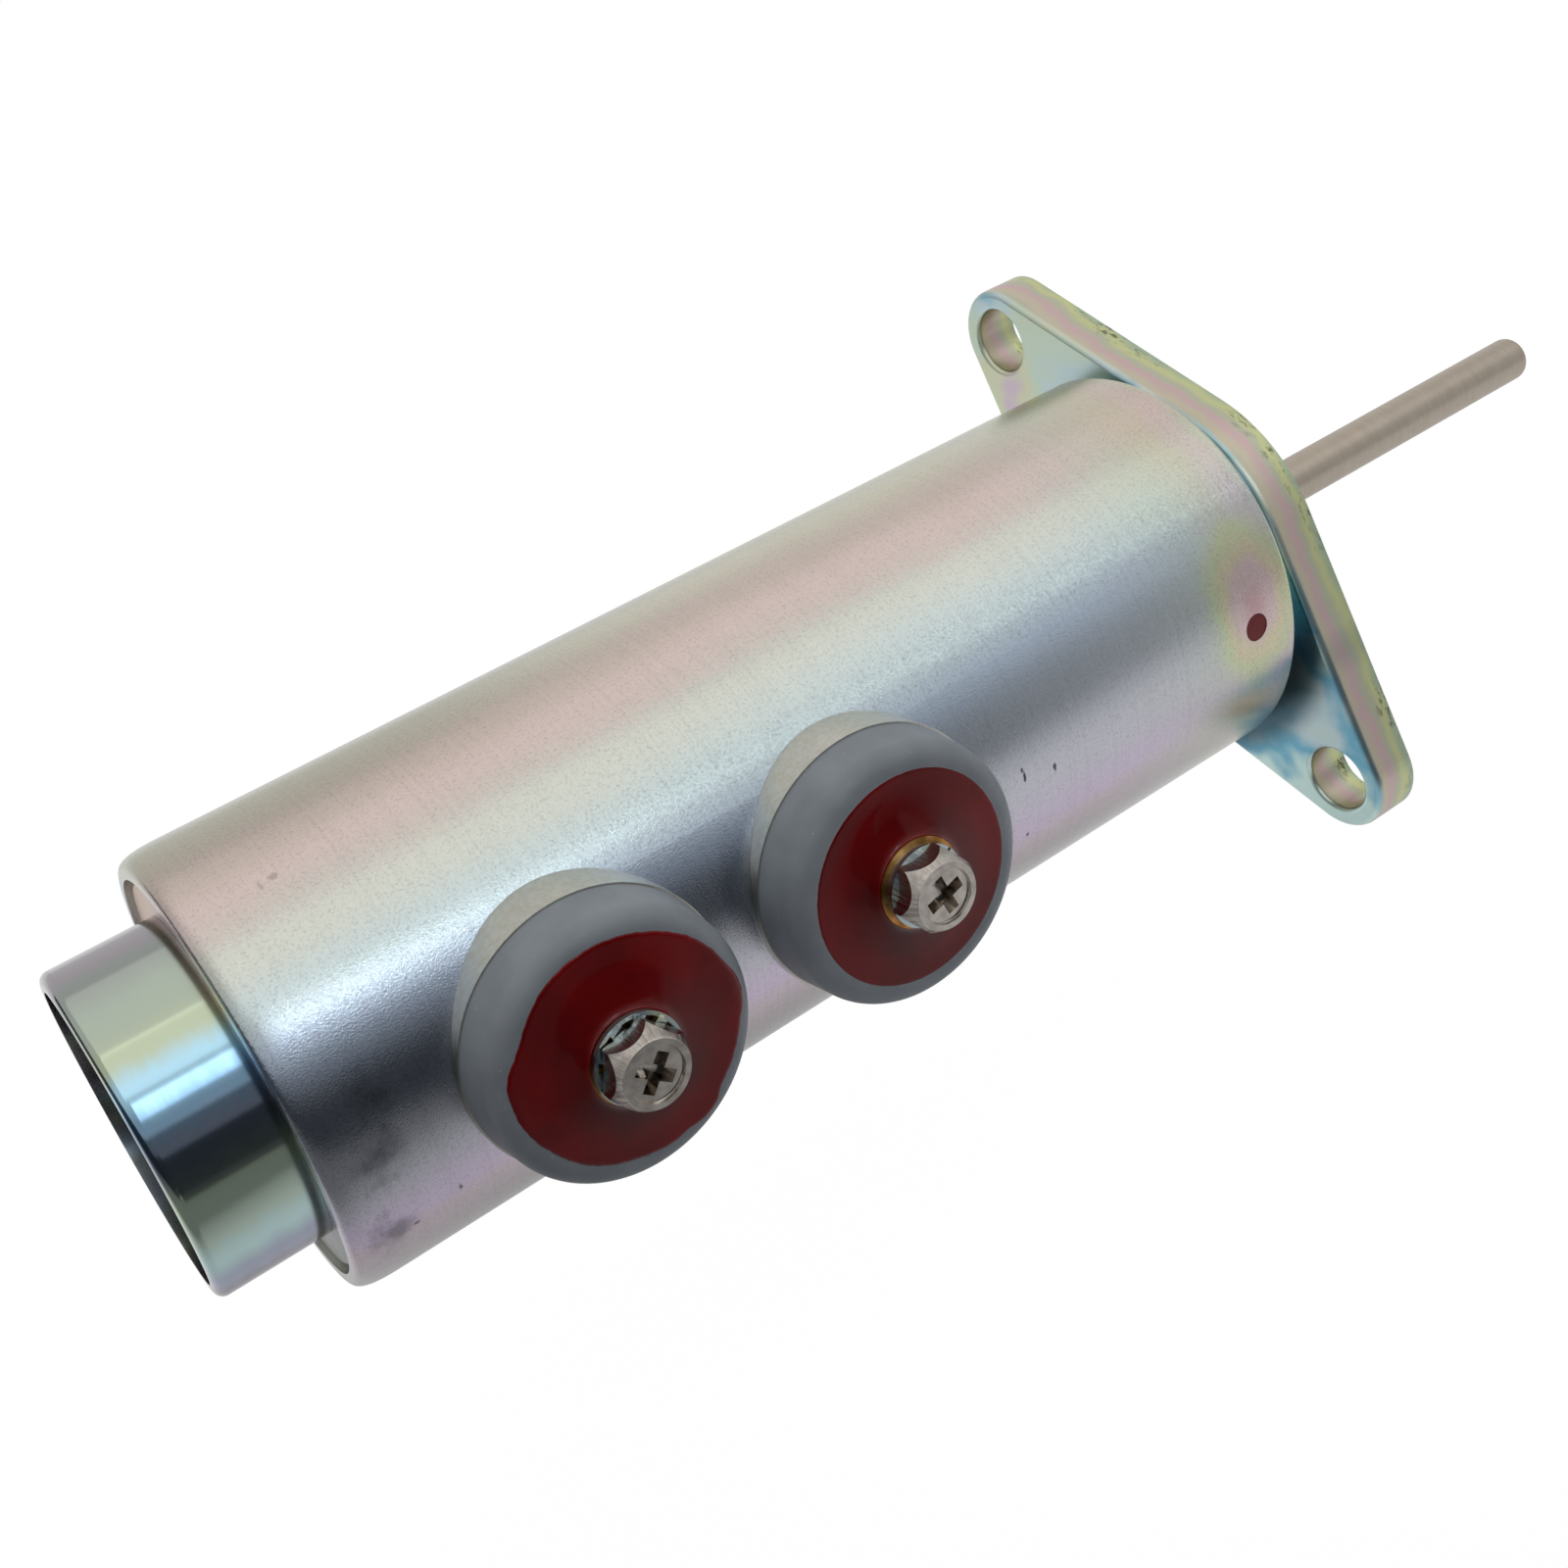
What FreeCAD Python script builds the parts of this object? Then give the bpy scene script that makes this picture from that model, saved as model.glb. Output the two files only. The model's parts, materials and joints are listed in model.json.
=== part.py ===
import FreeCAD, Part
import math
import os

# Fuel shutoff solenoid: a spring-returned plunger in a long steel housing pushes a rod
# out through a two-bolt flange. Two screw terminals stand on the housing's side.
# Millimetres. The origin is the centre of the flange's mounting face, +X is the way
# the rod pushes, the terminals face -Y and +Z is up.

# Housing
housing_r = 25.0
housing_len = 127.0
housing_wall = 3.0
front_edge_round = 0.6
lip_wall = 2.3
lip_flat = 0.9
lip_round_len = 4.5
lip_shoulder = 0.8
lip_run = 0.4
fill_hole_r = 1.65
fill_hole_from_front = 6.3

# Flange and the neck between it and the housing
flange_t = 6.0
flange_hole_r = 4.2
flange_lobe_r = 6.7
bolt_clear = 10.75
waist_margin = 1.0
flange_line_deg = 46.5
flange_edge_round = 0.8
flange_hole_round = 0.6
neck_len = 3.5
neck_step = 2.0
spigot_r = 12.0

# Rear end
plate_t = 6.0
plate_recess = 0.6
plate_chamfer = 0.8
plate_ring_w = 4.4
collar_wall = 1.8
collar_shoulder = 0.4
collar_reach = 11.7
collar_rim_round = 1.1
collar_floor_t = 3.2
collar_step = 1.2
mouth_depth = 4.8
clip_t = 1.2
clip_width = 2.6
clip_groove = 0.8
clip_gap_deg = 44.0
clip_lug_r = 1.9
clip_lug_hole_r = 0.9
stop_washer_t = 2.0
stop_washer_hole_r = 5.0
buffer_t = 1.6

# Magnet: plunger, pole, guide sleeve and coil
stroke = 25.0
plunger_r = 10.52
plunger_edge = 0.6
nose_len = 4.0
nose_base_r = 9.0
nose_tip_r = 7.4
vent_slot_w = 1.6
vent_slot_depth = 1.0
pole_disc_t = 4.5
pole_core_len = 31.0
cone_gap = 0.4
shim_t = 0.3
shim_clearance = 0.2
sleeve_wall = 0.8
bobbin_wall = 1.2
bobbin_flange_t = 1.6
bobbin_flange_over = 0.8
coil_room = 3.98
pull_in_share = 0.53
wrap_t = 0.3
wrap_short = 2.6
lead_r = 0.5
lead_bend_r = 1.1

# Rod, its bush and its return spring
rod_r = 3.0
rod_reach = 62.5
rod_tip_round = 1.0
rod_grip = 12.0
undercut_x = 0.5
undercut_w = 1.5
undercut_depth = 0.3
bush_len = 19.8
bush_wall = 1.95
wiper_t = 1.6
wiper_inset = 0.4
wiper_lean = 0.6
wiper_land = 0.3
spring_mean_r = 5.1
spring_wire_r = 0.7
spring_turns = 9
spring_pocket_r = 6.6
spring_pocket_depth = 12.0

# Terminals, placed from the housing's rear end; heights are from the housing's axis
terminal_from_rear = 29.5
terminal_pitch = 34.5
boss_r = 14.75
boss_rise = 0.6
stem_r = 11.5
stem_inset = 1.8
insulator_base_r = 14.55
insulator_front_r = 14.25
insulator_round = 2.2
insulator_t = 6.05
cup_r = 11.55
cup_depth = 2.5
potting_rise = 1.15
potting_collar = 0.4
potting_sag = 0.42
insert_r = 4.9
insert_proud = 1.35
insert_foot_r = 7.0
insert_foot_t = 2.0
screw_r = 2.5
screw_len = 11.5
screw_point = 0.5
head_flats = 8.0
head_t = 3.2
head_face_r = 3.62
head_rim = 0.62
head_dish = 0.35
head_dish_wall = 0.15
head_chamfer_deg = 66.0
head_bulge = 0.12
cross_span = 4.6
cross_foot = 3.1
cross_w = 1.5
cross_floor_w = 0.75
cross_depth = 1.9
head_turns_deg = (13.0, 7.0)
cross_turns_deg = (50.0, 16.0)
tooth_washer_r = 4.8
tooth_ring_w = 0.45
tooth_count = 10
tooth_w = 1.45
tooth_stock = 0.5
tooth_root = 0.25
tooth_twist_deg = 13.0
washer_shift = 0.15
washer_shift_deg = 75.0
spring_washer_r = 4.45
spring_washer_t = 1.1
spring_washer_slit = 0.35
spring_washer_slit_deg = 38.0
spring_washer_slit_lean_deg = 20.0

# Clearances
seat_gap = 0.02
run_gap = 0.08
rod_run_gap = 0.05
stem_gap = 0.2
rest_gap = 0.1
free_gap = 0.4
cutter_over = 1.0

# Places along the axis, from the mounting face backwards
flange_back_x = -flange_t
front_x = flange_back_x - neck_len
rear_x = front_x - housing_len
plate_face_x = rear_x + plate_recess
plate_in_x = plate_face_x + plate_t
collar_end_x = rear_x - collar_reach
disc_rear_x = front_x - pole_disc_t
pole_mouth_x = disc_rear_x - pole_core_len
pole_seat_x = pole_mouth_x + nose_len
bush_rear_x = -(wiper_inset + wiper_t + bush_len)
plunger_tip_x = pole_seat_x - shim_t - shim_clearance - stroke
plunger_pocket_x = plunger_tip_x - spring_pocket_depth
clip_x = collar_end_x + mouth_depth
clip_seat_x = clip_x + clip_t
buffer_x = clip_seat_x + stop_washer_t
plunger_rear_x = buffer_x + buffer_t + rest_gap
terminal_x = (rear_x + terminal_from_rear, rear_x + terminal_from_rear + terminal_pitch)
fill_hole_x = front_x - fill_hole_from_front

# Radii that follow from the ones above
bore_r = housing_r - housing_wall
lip_r = housing_r - lip_wall
neck_r = bore_r - neck_step
flange_waist_r = neck_r + waist_margin
flange_hole_offset = housing_r + bolt_clear
collar_r = lip_r - plate_ring_w
core_r = plunger_r
sleeve_in_r = plunger_r + run_gap
sleeve_r = sleeve_in_r + sleeve_wall
bobbin_in_r = sleeve_r + seat_gap
bobbin_r = bobbin_in_r + bobbin_wall
wrap_r = bore_r - coil_room
hold_in_r = wrap_r - wrap_t
pull_in_r = bobbin_r + pull_in_share * (hold_in_r - bobbin_r)
bobbin_flange_r = wrap_r + bobbin_flange_over
bush_r = rod_r + rod_run_gap + bush_wall
collar_in_r = collar_r - collar_wall
groove_r = collar_in_r + clip_groove

# Heights at a terminal, outwards from the housing's axis
boss_height = housing_r + boss_rise
stem_foot = bore_r - stem_inset
insulator_front = boss_height + insulator_t
cup_floor = insulator_front - cup_depth
insert_front = insulator_front + insert_proud
tooth_washer_t = (tooth_stock * math.cos(math.radians(tooth_twist_deg))
                  + tooth_w * math.sin(math.radians(tooth_twist_deg)))
washer_heights = (tooth_washer_t + seat_gap, spring_washer_t)

AXIS = FreeCAD.Vector(1, 0, 0)
OUT = FreeCAD.Vector(0, -1, 0)
CENTRE = FreeCAD.Vector(0, 0, 0)


def point(along, radius):
    return FreeCAD.Vector(along, radius, 0)


def turned(start, *steps):
    """Revolve an outline of (x, r) points about the axis. A pair of points is an arc
    through the first to the second, and four points are a smooth curve's controls."""
    edges = []
    here = point(*start)
    for step in steps + (start,):
        if not isinstance(step[0], tuple):
            there = point(*step)
            edges.append(Part.LineSegment(here, there).toShape())
        elif len(step) == 2:
            there = point(*step[1])
            edges.append(Part.Arc(here, point(*step[0]), there).toShape())
        else:
            there = point(*step[-1])
            curve = Part.BezierCurve()
            curve.setPoles([point(*pole) for pole in step])
            edges.append(curve.toShape())
        here = there
    return Part.Face(Part.Wire(edges)).revolve(CENTRE, AXIS, 360)


def tube(x0, x1, outer, inner):
    return turned((x0, inner), (x0, outer), (x1, outer), (x1, inner))


def rod_between(x0, x1, radius):
    return Part.makeCylinder(radius, x1 - x0, point(x0, 0), AXIS)


def quarter(centre, radius, deg):
    """A point on a rounded edge, deg round from +X towards +r."""
    a = math.radians(deg)
    return (centre[0] + radius * math.cos(a), centre[1] + radius * math.sin(a))


def at_terminal(shape, index):
    """Stand a shape turned about the X axis upright on the housing's side."""
    shape = shape.copy()
    shape.rotate(CENTRE, FreeCAD.Vector(0, 0, 1), -90)
    shape.translate(FreeCAD.Vector(terminal_x[index], 0, 0))
    return shape


def side_hole(x, radius):
    return Part.makeCylinder(radius, housing_r + cutter_over, point(x, 0), OUT)


def housing():
    flat_r = lip_r + lip_flat
    lip_start = (rear_x + lip_round_len, housing_r)
    lip_end = (rear_x, flat_r)
    edge = (front_x - front_edge_round, housing_r - front_edge_round)
    shell = turned(
        (rear_x, lip_r),
        lip_end,
        (lip_end, (rear_x, flat_r + lip_shoulder * (housing_r - flat_r)),
         (rear_x + lip_run * lip_round_len, housing_r), lip_start),
        (edge[0], housing_r),
        (quarter(edge, front_edge_round, 45), (front_x, edge[1])),
        (front_x, bore_r),
        (plate_in_x, bore_r),
        (plate_in_x, lip_r),
    )
    for x in terminal_x:
        shell = shell.cut(side_hole(x, stem_r + stem_gap))
    return shell.cut(side_hole(fill_hole_x, fill_hole_r))


def fill_hole_seal():
    plug = side_hole(fill_hole_x, fill_hole_r - seat_gap)
    skin = tube(fill_hole_x - fill_hole_r, fill_hole_x + fill_hole_r, housing_r - rest_gap, bore_r)
    return plug.common(skin)


def flange_outline():
    """Two round lobes joined to the round waist by straight tangents."""
    lean = math.asin((flange_waist_r - flange_lobe_r) / flange_hole_offset)

    def on_circle(centre, radius, angle):
        return FreeCAD.Vector(0, centre + radius * math.cos(angle), radius * math.sin(angle))

    tangent = math.pi / 2 - lean
    edges = []
    for side in (0, 1):
        turn = side * math.pi
        centre = flange_hole_offset * math.cos(turn)
        lobe = [on_circle(centre, flange_lobe_r, turn + a) for a in (-tangent, 0, tangent)]
        waist = [on_circle(0, flange_waist_r, turn + a)
                 for a in (tangent, math.pi / 2, math.pi - tangent)]
        edges.append(Part.Arc(*lobe).toShape())
        edges.append(Part.LineSegment(lobe[2], waist[0]).toShape())
        edges.append(Part.Arc(*waist).toShape())
        next_lobe = on_circle(-centre, flange_lobe_r, turn + math.pi - tangent)
        edges.append(Part.LineSegment(waist[2], next_lobe).toShape())
    return Part.Wire(edges)


def mounting_flange():
    plate = Part.Face(flange_outline()).extrude(FreeCAD.Vector(-flange_t, 0, 0))
    back_edges = [e for e in plate.Edges
                  if abs(e.BoundBox.XMin - flange_back_x) < 1e-6
                  and abs(e.BoundBox.XMax - flange_back_x) < 1e-6]
    plate = plate.makeFillet(flange_edge_round, back_edges)
    for side in (1, -1):
        centre = FreeCAD.Vector(flange_back_x, side * flange_hole_offset, 0)
        bolt_hole = Part.makeCylinder(flange_hole_r, flange_t, centre, AXIS)
        plate = plate.cut(bolt_hole)
    full_turn = 2 * math.pi * flange_hole_r
    rims = [e for e in plate.Edges
            if abs(e.Length - full_turn) < 1e-6 and abs(e.BoundBox.XMax - flange_back_x) < 1e-6]
    plate = plate.makeFillet(flange_hole_round, rims)
    plate = plate.cut(rod_between(flange_back_x, 0, spigot_r + seat_gap))
    plate.rotate(CENTRE, AXIS, flange_line_deg)
    return plate


def front_pole():
    recess_r = nose_tip_r + cone_gap
    mouth_r = nose_base_r + cone_gap
    bush_bore_r = bush_r + seat_gap
    return turned(
        (pole_mouth_x, mouth_r),
        (pole_mouth_x, core_r),
        (disc_rear_x, core_r),
        (disc_rear_x, bore_r - seat_gap),
        (front_x, bore_r - seat_gap),
        (front_x, neck_r),
        (flange_back_x, neck_r),
        (flange_back_x, spigot_r),
        (0, spigot_r),
        (0, bush_bore_r),
        (bush_rear_x, bush_bore_r),
        (bush_rear_x, spring_pocket_r),
        (pole_seat_x, spring_pocket_r),
        (pole_seat_x, recess_r),
    )


def pole_shim():
    return tube(pole_seat_x - shim_t, pole_seat_x, nose_tip_r + cone_gap / 2, spring_pocket_r)


def rear_end_plate():
    edge_r = lip_r - seat_gap
    seat_r = collar_r - collar_shoulder + seat_gap
    return turned(
        (plate_face_x, seat_r),
        (plate_face_x, edge_r - plate_chamfer),
        (plate_face_x + plate_chamfer, edge_r),
        (plate_in_x, edge_r),
        (plate_in_x, seat_r),
    )


def rear_collar():
    rim = (collar_end_x + collar_rim_round, collar_r - collar_rim_round)
    land_r = collar_in_r - collar_step
    hole_r = plunger_r + free_gap
    return turned(
        (collar_end_x, collar_in_r),
        (collar_end_x, rim[1]),
        (quarter(rim, collar_rim_round, 135), (rim[0], collar_r)),
        (plate_face_x - seat_gap, collar_r),
        (plate_face_x - seat_gap, collar_r - collar_shoulder),
        (plate_in_x, collar_r - collar_shoulder),
        (plate_in_x, hole_r),
        (plate_in_x - collar_floor_t, hole_r),
        (plate_in_x - collar_floor_t, land_r),
        (buffer_x, land_r),
        (buffer_x, collar_in_r),
        (clip_seat_x, collar_in_r),
        (clip_seat_x, groove_r),
        (clip_x, groove_r),
        (clip_x, collar_in_r),
    )


def retaining_ring():
    """An open ring that springs into the collar's groove, with an eye at each end."""
    outer = groove_r - rest_gap
    inner = outer - clip_width
    t = clip_t - seat_gap
    ring = tube(clip_x, clip_x + t, outer, inner)
    half = math.radians(clip_gap_deg / 2)
    reach = 2 * outer
    wedge = Part.makePolygon([
        point(clip_x, 0),
        FreeCAD.Vector(clip_x, reach * math.sin(half), -reach * math.cos(half)),
        FreeCAD.Vector(clip_x, -reach * math.sin(half), -reach * math.cos(half)),
        point(clip_x, 0),
    ])
    ring = ring.cut(Part.Face(wedge).extrude(AXIS * t))
    eye_orbit = inner
    for side in (1, -1):
        turn = half + clip_lug_r / eye_orbit
        eye = FreeCAD.Vector(clip_x, side * eye_orbit * math.sin(turn),
                             -eye_orbit * math.cos(turn))
        ring = ring.fuse(Part.makeCylinder(clip_lug_r, t, eye, AXIS))
        ring = ring.cut(Part.makeCylinder(clip_lug_hole_r, t, eye, AXIS))
    return ring.removeSplitter()


def stop_washer():
    return tube(clip_seat_x, buffer_x, collar_in_r - rest_gap, stop_washer_hole_r)


def buffer_ring():
    return tube(buffer_x, buffer_x + buffer_t, plunger_r - plunger_edge,
                stop_washer_hole_r + free_gap)


def plunger():
    shoulder_x = plunger_tip_x - nose_len
    rod_hole_x = plunger_pocket_x - rod_grip - rest_gap
    body = turned(
        (plunger_rear_x, 0),
        (plunger_rear_x, plunger_r - plunger_edge),
        (plunger_rear_x + plunger_edge, plunger_r),
        (shoulder_x, plunger_r),
        (shoulder_x, nose_base_r),
        (plunger_tip_x, nose_tip_r),
        (plunger_tip_x, spring_pocket_r),
        (plunger_pocket_x, spring_pocket_r),
        (plunger_pocket_x, rod_r + seat_gap),
        (rod_hole_x, rod_r + seat_gap),
        (rod_hole_x, 0),
    )
    slot_corner = FreeCAD.Vector(plunger_rear_x, -vent_slot_w / 2, plunger_r - vent_slot_depth)
    slot = Part.makeBox(shoulder_x - plunger_rear_x, vent_slot_w, housing_r, slot_corner)
    return body.cut(slot)


def push_rod():
    """The undercut ends the ground journal that runs in the bush."""
    end = (rod_reach - rod_tip_round, rod_r - rod_tip_round)
    start_x = plunger_pocket_x - rod_grip
    undercut_r = rod_r - undercut_depth
    return turned(
        (start_x, 0),
        (start_x, rod_r),
        (undercut_x, rod_r),
        (undercut_x, undercut_r),
        (undercut_x + undercut_w - undercut_depth, undercut_r),
        (undercut_x + undercut_w, rod_r),
        (end[0], rod_r),
        (quarter(end, rod_tip_round, 45), (rod_reach, end[1])),
        (rod_reach, 0),
    )


def rod_bush():
    return tube(bush_rear_x, bush_rear_x + bush_len, bush_r, rod_r + rod_run_gap)


def rod_wiper():
    """A rubber ring with a lip that leans out along the rod."""
    x0 = -(wiper_inset + wiper_t)
    inner = rod_r + rod_run_gap
    return turned(
        (x0, inner + wiper_lean * bush_wall),
        (x0, bush_r),
        (-wiper_inset, bush_r),
        (-wiper_inset, inner),
        (-wiper_inset - wiper_land * wiper_t, inner),
    )


def return_spring():
    margin = spring_wire_r + seat_gap
    start_x = plunger_pocket_x + margin
    length = bush_rear_x - margin - start_x
    helix = Part.makeHelix(length / spring_turns, length, spring_mean_r)
    section = Part.Wire(Part.makeCircle(spring_wire_r, FreeCAD.Vector(spring_mean_r, 0, 0),
                                        FreeCAD.Vector(0, 1, 0)))
    coil = Part.Wire(helix).makePipeShell([section], True, True)
    coil.rotate(CENTRE, FreeCAD.Vector(0, 1, 0), 90)
    coil.translate(FreeCAD.Vector(start_x, 0, 0))
    return coil


def guide_sleeve():
    return tube(plate_in_x, disc_rear_x, sleeve_r, sleeve_in_r)


def coil_bobbin():
    rear_in = plate_in_x + bobbin_flange_t
    front_in = disc_rear_x - bobbin_flange_t
    return turned(
        (plate_in_x, bobbin_in_r),
        (plate_in_x, bobbin_flange_r),
        (rear_in, bobbin_flange_r),
        (rear_in, bobbin_r),
        (front_in, bobbin_r),
        (front_in, bobbin_flange_r),
        (disc_rear_x, bobbin_flange_r),
        (disc_rear_x, bobbin_in_r),
    )


def winding(inner, outer, short):
    x0 = plate_in_x + bobbin_flange_t + seat_gap + short
    x1 = disc_rear_x - bobbin_flange_t - seat_gap - short
    return tube(x0, x1, outer, inner + seat_gap)


def lead(index):
    """A tinned wire from a terminal insert's foot to the end of the coil."""
    way = (-1, 1)[index]
    coil_end_x = (plate_in_x, disc_rear_x)[index] - way * (bobbin_flange_t + wrap_short / 2)
    height = stem_foot - lead_r - seat_gap
    start = FreeCAD.Vector(terminal_x[index] + way * insert_foot_r / 2, -height, 0)
    bend_in = FreeCAD.Vector(coil_end_x - way * lead_bend_r, -height, 0)
    bend_out = FreeCAD.Vector(coil_end_x, -height + lead_bend_r, 0)
    diagonal = lead_bend_r * math.sqrt(0.5)
    mid = FreeCAD.Vector(bend_in.x + way * diagonal,
                         -height + lead_bend_r - diagonal, 0)
    end = FreeCAD.Vector(coil_end_x, -hold_in_r - seat_gap, 0)
    path = Part.Wire([
        Part.LineSegment(start, bend_in).toShape(),
        Part.Arc(bend_in, mid, bend_out).toShape(),
        Part.LineSegment(bend_out, end).toShape(),
    ])
    section = Part.Wire(Part.makeCircle(lead_r, start, AXIS))
    return path.makePipeShell([section], True, True)


def terminal_boss(index):
    """A steel ring saddled on the housing, with a flat seat for the insulator."""
    ring = at_terminal(tube(bore_r / 2, boss_height, boss_r, stem_r + stem_gap), index)
    return ring.cut(rod_between(rear_x, front_x, housing_r + seat_gap))


def insulator():
    front_edge = (insulator_front - insulator_round, insulator_front_r - insulator_round)
    hole_r = insert_r + seat_gap
    foot_r = insert_foot_r + seat_gap
    return turned(
        (stem_foot, foot_r),
        (stem_foot, stem_r),
        (boss_height, stem_r),
        (boss_height, insulator_base_r),
        (front_edge[0], insulator_front_r),
        (quarter(front_edge, insulator_round, 45), (insulator_front, front_edge[1])),
        (insulator_front, cup_r),
        (cup_floor, cup_r),
        (cup_floor, hole_r),
        (stem_foot + insert_foot_t, hole_r),
        (stem_foot + insert_foot_t, foot_r),
    )


def potting():
    """Sealing compound poured in the insulator's cup, drawn up round the insert."""
    inner = insert_r + seat_gap
    outer = cup_r - seat_gap
    top = insulator_front + potting_rise
    return turned(
        (cup_floor, inner),
        (cup_floor, outer),
        (insulator_front, outer),
        ((insulator_front + potting_sag * potting_rise, (inner + outer) / 2),
         (top - potting_collar, inner + potting_collar)),
        (top, inner),
    )


def terminal_insert():
    foot_top = stem_foot + insert_foot_t - seat_gap
    return turned(
        (stem_foot, screw_r + seat_gap),
        (stem_foot, insert_foot_r),
        (foot_top, insert_foot_r),
        (foot_top, insert_r),
        (insert_front, insert_r),
        (insert_front, screw_r + seat_gap),
    )


def washer_offset():
    turn = math.radians(washer_shift_deg)
    return FreeCAD.Vector(0, washer_shift * math.cos(turn), washer_shift * math.sin(turn))


def tooth_washer():
    """An internal-tooth lock washer: a flat ring with twisted teeth round its hole."""
    middle = insert_front + tooth_washer_t / 2
    ring = tube(middle - tooth_stock / 2, middle + tooth_stock / 2,
                tooth_washer_r, tooth_washer_r - tooth_ring_w)
    tooth_in = screw_r + stem_gap
    tooth_len = tooth_washer_r - tooth_ring_w + tooth_root - tooth_in
    for index in range(tooth_count):
        tooth = Part.makeBox(tooth_stock, tooth_len, tooth_w,
                             FreeCAD.Vector(-tooth_stock / 2, tooth_in, -tooth_w / 2))
        tooth.rotate(CENTRE, FreeCAD.Vector(0, 1, 0), tooth_twist_deg)
        tooth.rotate(CENTRE, AXIS, index * 360 / tooth_count)
        tooth.translate(point(middle, 0))
        ring = ring.fuse(tooth)
    ring.translate(washer_offset())
    return ring


def spring_washer():
    ring = tube(insert_front, insert_front + spring_washer_t,
                spring_washer_r, screw_r + rest_gap)
    deep = spring_washer_t + 2 * cutter_over
    slit = Part.makeBox(deep, spring_washer_r + cutter_over, spring_washer_slit,
                        FreeCAD.Vector(-deep / 2, 0, -spring_washer_slit / 2))
    slit.rotate(CENTRE, FreeCAD.Vector(0, 1, 0), spring_washer_slit_lean_deg)
    slit.rotate(CENTRE, AXIS, spring_washer_slit_deg)
    slit.translate(point(insert_front + spring_washer_t / 2, 0))
    return ring.cut(slit)


def hexagon(flats, x0, x1, turn_deg):
    corner = flats / math.sqrt(3)
    corners = []
    for index in range(7):
        a = math.radians(60 * index + turn_deg)
        corners.append(FreeCAD.Vector(x0, corner * math.cos(a), corner * math.sin(a)))
    return Part.Face(Part.makePolygon(corners)).extrude(AXIS * (x1 - x0))


def slot_outline(x, length, width):
    corners = [FreeCAD.Vector(x, y * length / 2, z * width / 2)
               for y, z in ((-1, -1), (1, -1), (1, 1), (-1, 1), (-1, -1))]
    return Part.makePolygon(corners)


def cross_recess(face_x, turn_deg):
    """Two crossed slots whose walls and ends draw in towards the floor."""
    wings = None
    for quarter_turn in (0, 90):
        wing = Part.makeLoft([slot_outline(face_x - cross_depth, cross_foot, cross_floor_w),
                              slot_outline(face_x, cross_span, cross_w)], True, True)
        wing.rotate(CENTRE, AXIS, quarter_turn + turn_deg)
        wings = wing if wings is None else wings.fuse(wing)
    return wings


def terminal_screw(index):
    """A hexagon-head screw with a dished face and a cross recess."""
    under_x = insert_front + washer_heights[index]
    face_x = under_x + head_t
    corner_r = head_flats / math.sqrt(3) + rest_gap
    chamfer = (corner_r - head_face_r) * math.tan(math.radians(head_chamfer_deg))
    shoulder = ((face_x - chamfer / 2, (corner_r + head_face_r) / 2 + head_bulge),
                (face_x, head_face_r))
    blank = turned((under_x, 0), (under_x, corner_r), (face_x - chamfer, corner_r),
                   shoulder, (face_x, 0))
    head = hexagon(head_flats, under_x, face_x, head_turns_deg[index]).common(blank)
    rim_r = head_face_r - head_rim
    dish = turned((face_x, 0), (face_x, rim_r), (face_x - head_dish, rim_r - head_dish_wall),
                  (face_x - head_dish, 0))
    head = head.cut(dish)
    tip_x = under_x - screw_len
    shank = turned((tip_x, 0), (tip_x, screw_r - screw_point), (tip_x + screw_point, screw_r),
                   (under_x, screw_r), (under_x, 0))
    screw = head.fuse(shank)
    return screw.cut(cross_recess(face_x, cross_turns_deg[index]))


def solid_of(shape):
    solids = shape.Solids
    return solids[0] if len(solids) == 1 else shape


def pieces():
    model = {
        "housing": housing(),
        "fill_hole_seal": fill_hole_seal(),
        "mounting_flange": mounting_flange(),
        "front_pole": front_pole(),
        "pole_shim": pole_shim(),
        "rear_end_plate": rear_end_plate(),
        "rear_collar": rear_collar(),
        "retaining_ring": retaining_ring(),
        "stop_washer": stop_washer(),
        "buffer_ring": buffer_ring(),
        "plunger": plunger(),
        "push_rod": push_rod(),
        "rod_bush": rod_bush(),
        "rod_wiper": rod_wiper(),
        "return_spring": return_spring(),
        "guide_sleeve": guide_sleeve(),
        "coil_bobbin": coil_bobbin(),
        "pull_in_winding": winding(bobbin_r, pull_in_r, 0),
        "hold_in_winding": winding(pull_in_r, hold_in_r, 0),
        "coil_wrap": winding(hold_in_r, wrap_r, wrap_short),
        "tooth_washer": at_terminal(tooth_washer(), 0),
        "spring_washer": at_terminal(spring_washer(), 1),
    }
    for index in (0, 1):
        number = "_" + str(index + 1)
        model["coil_lead" + number] = lead(index)
        model["terminal_boss" + number] = terminal_boss(index)
        model["insulator" + number] = at_terminal(insulator(), index)
        model["potting" + number] = at_terminal(potting(), index)
        model["terminal_insert" + number] = at_terminal(terminal_insert(), index)
        model["terminal_screw" + number] = at_terminal(terminal_screw(index), index)
    return model


os.makedirs("parts", exist_ok=True)
for name, shape in pieces().items():
    shape = solid_of(shape)
    shape.exportStep("parts/" + name + ".step")
    print(name, "solids", len(shape.Solids), "valid", shape.isValid(),
          "volume", round(shape.Volume, 2))
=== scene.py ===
import json
import math

import bmesh
import bpy
from mathutils import Matrix, Vector

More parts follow.
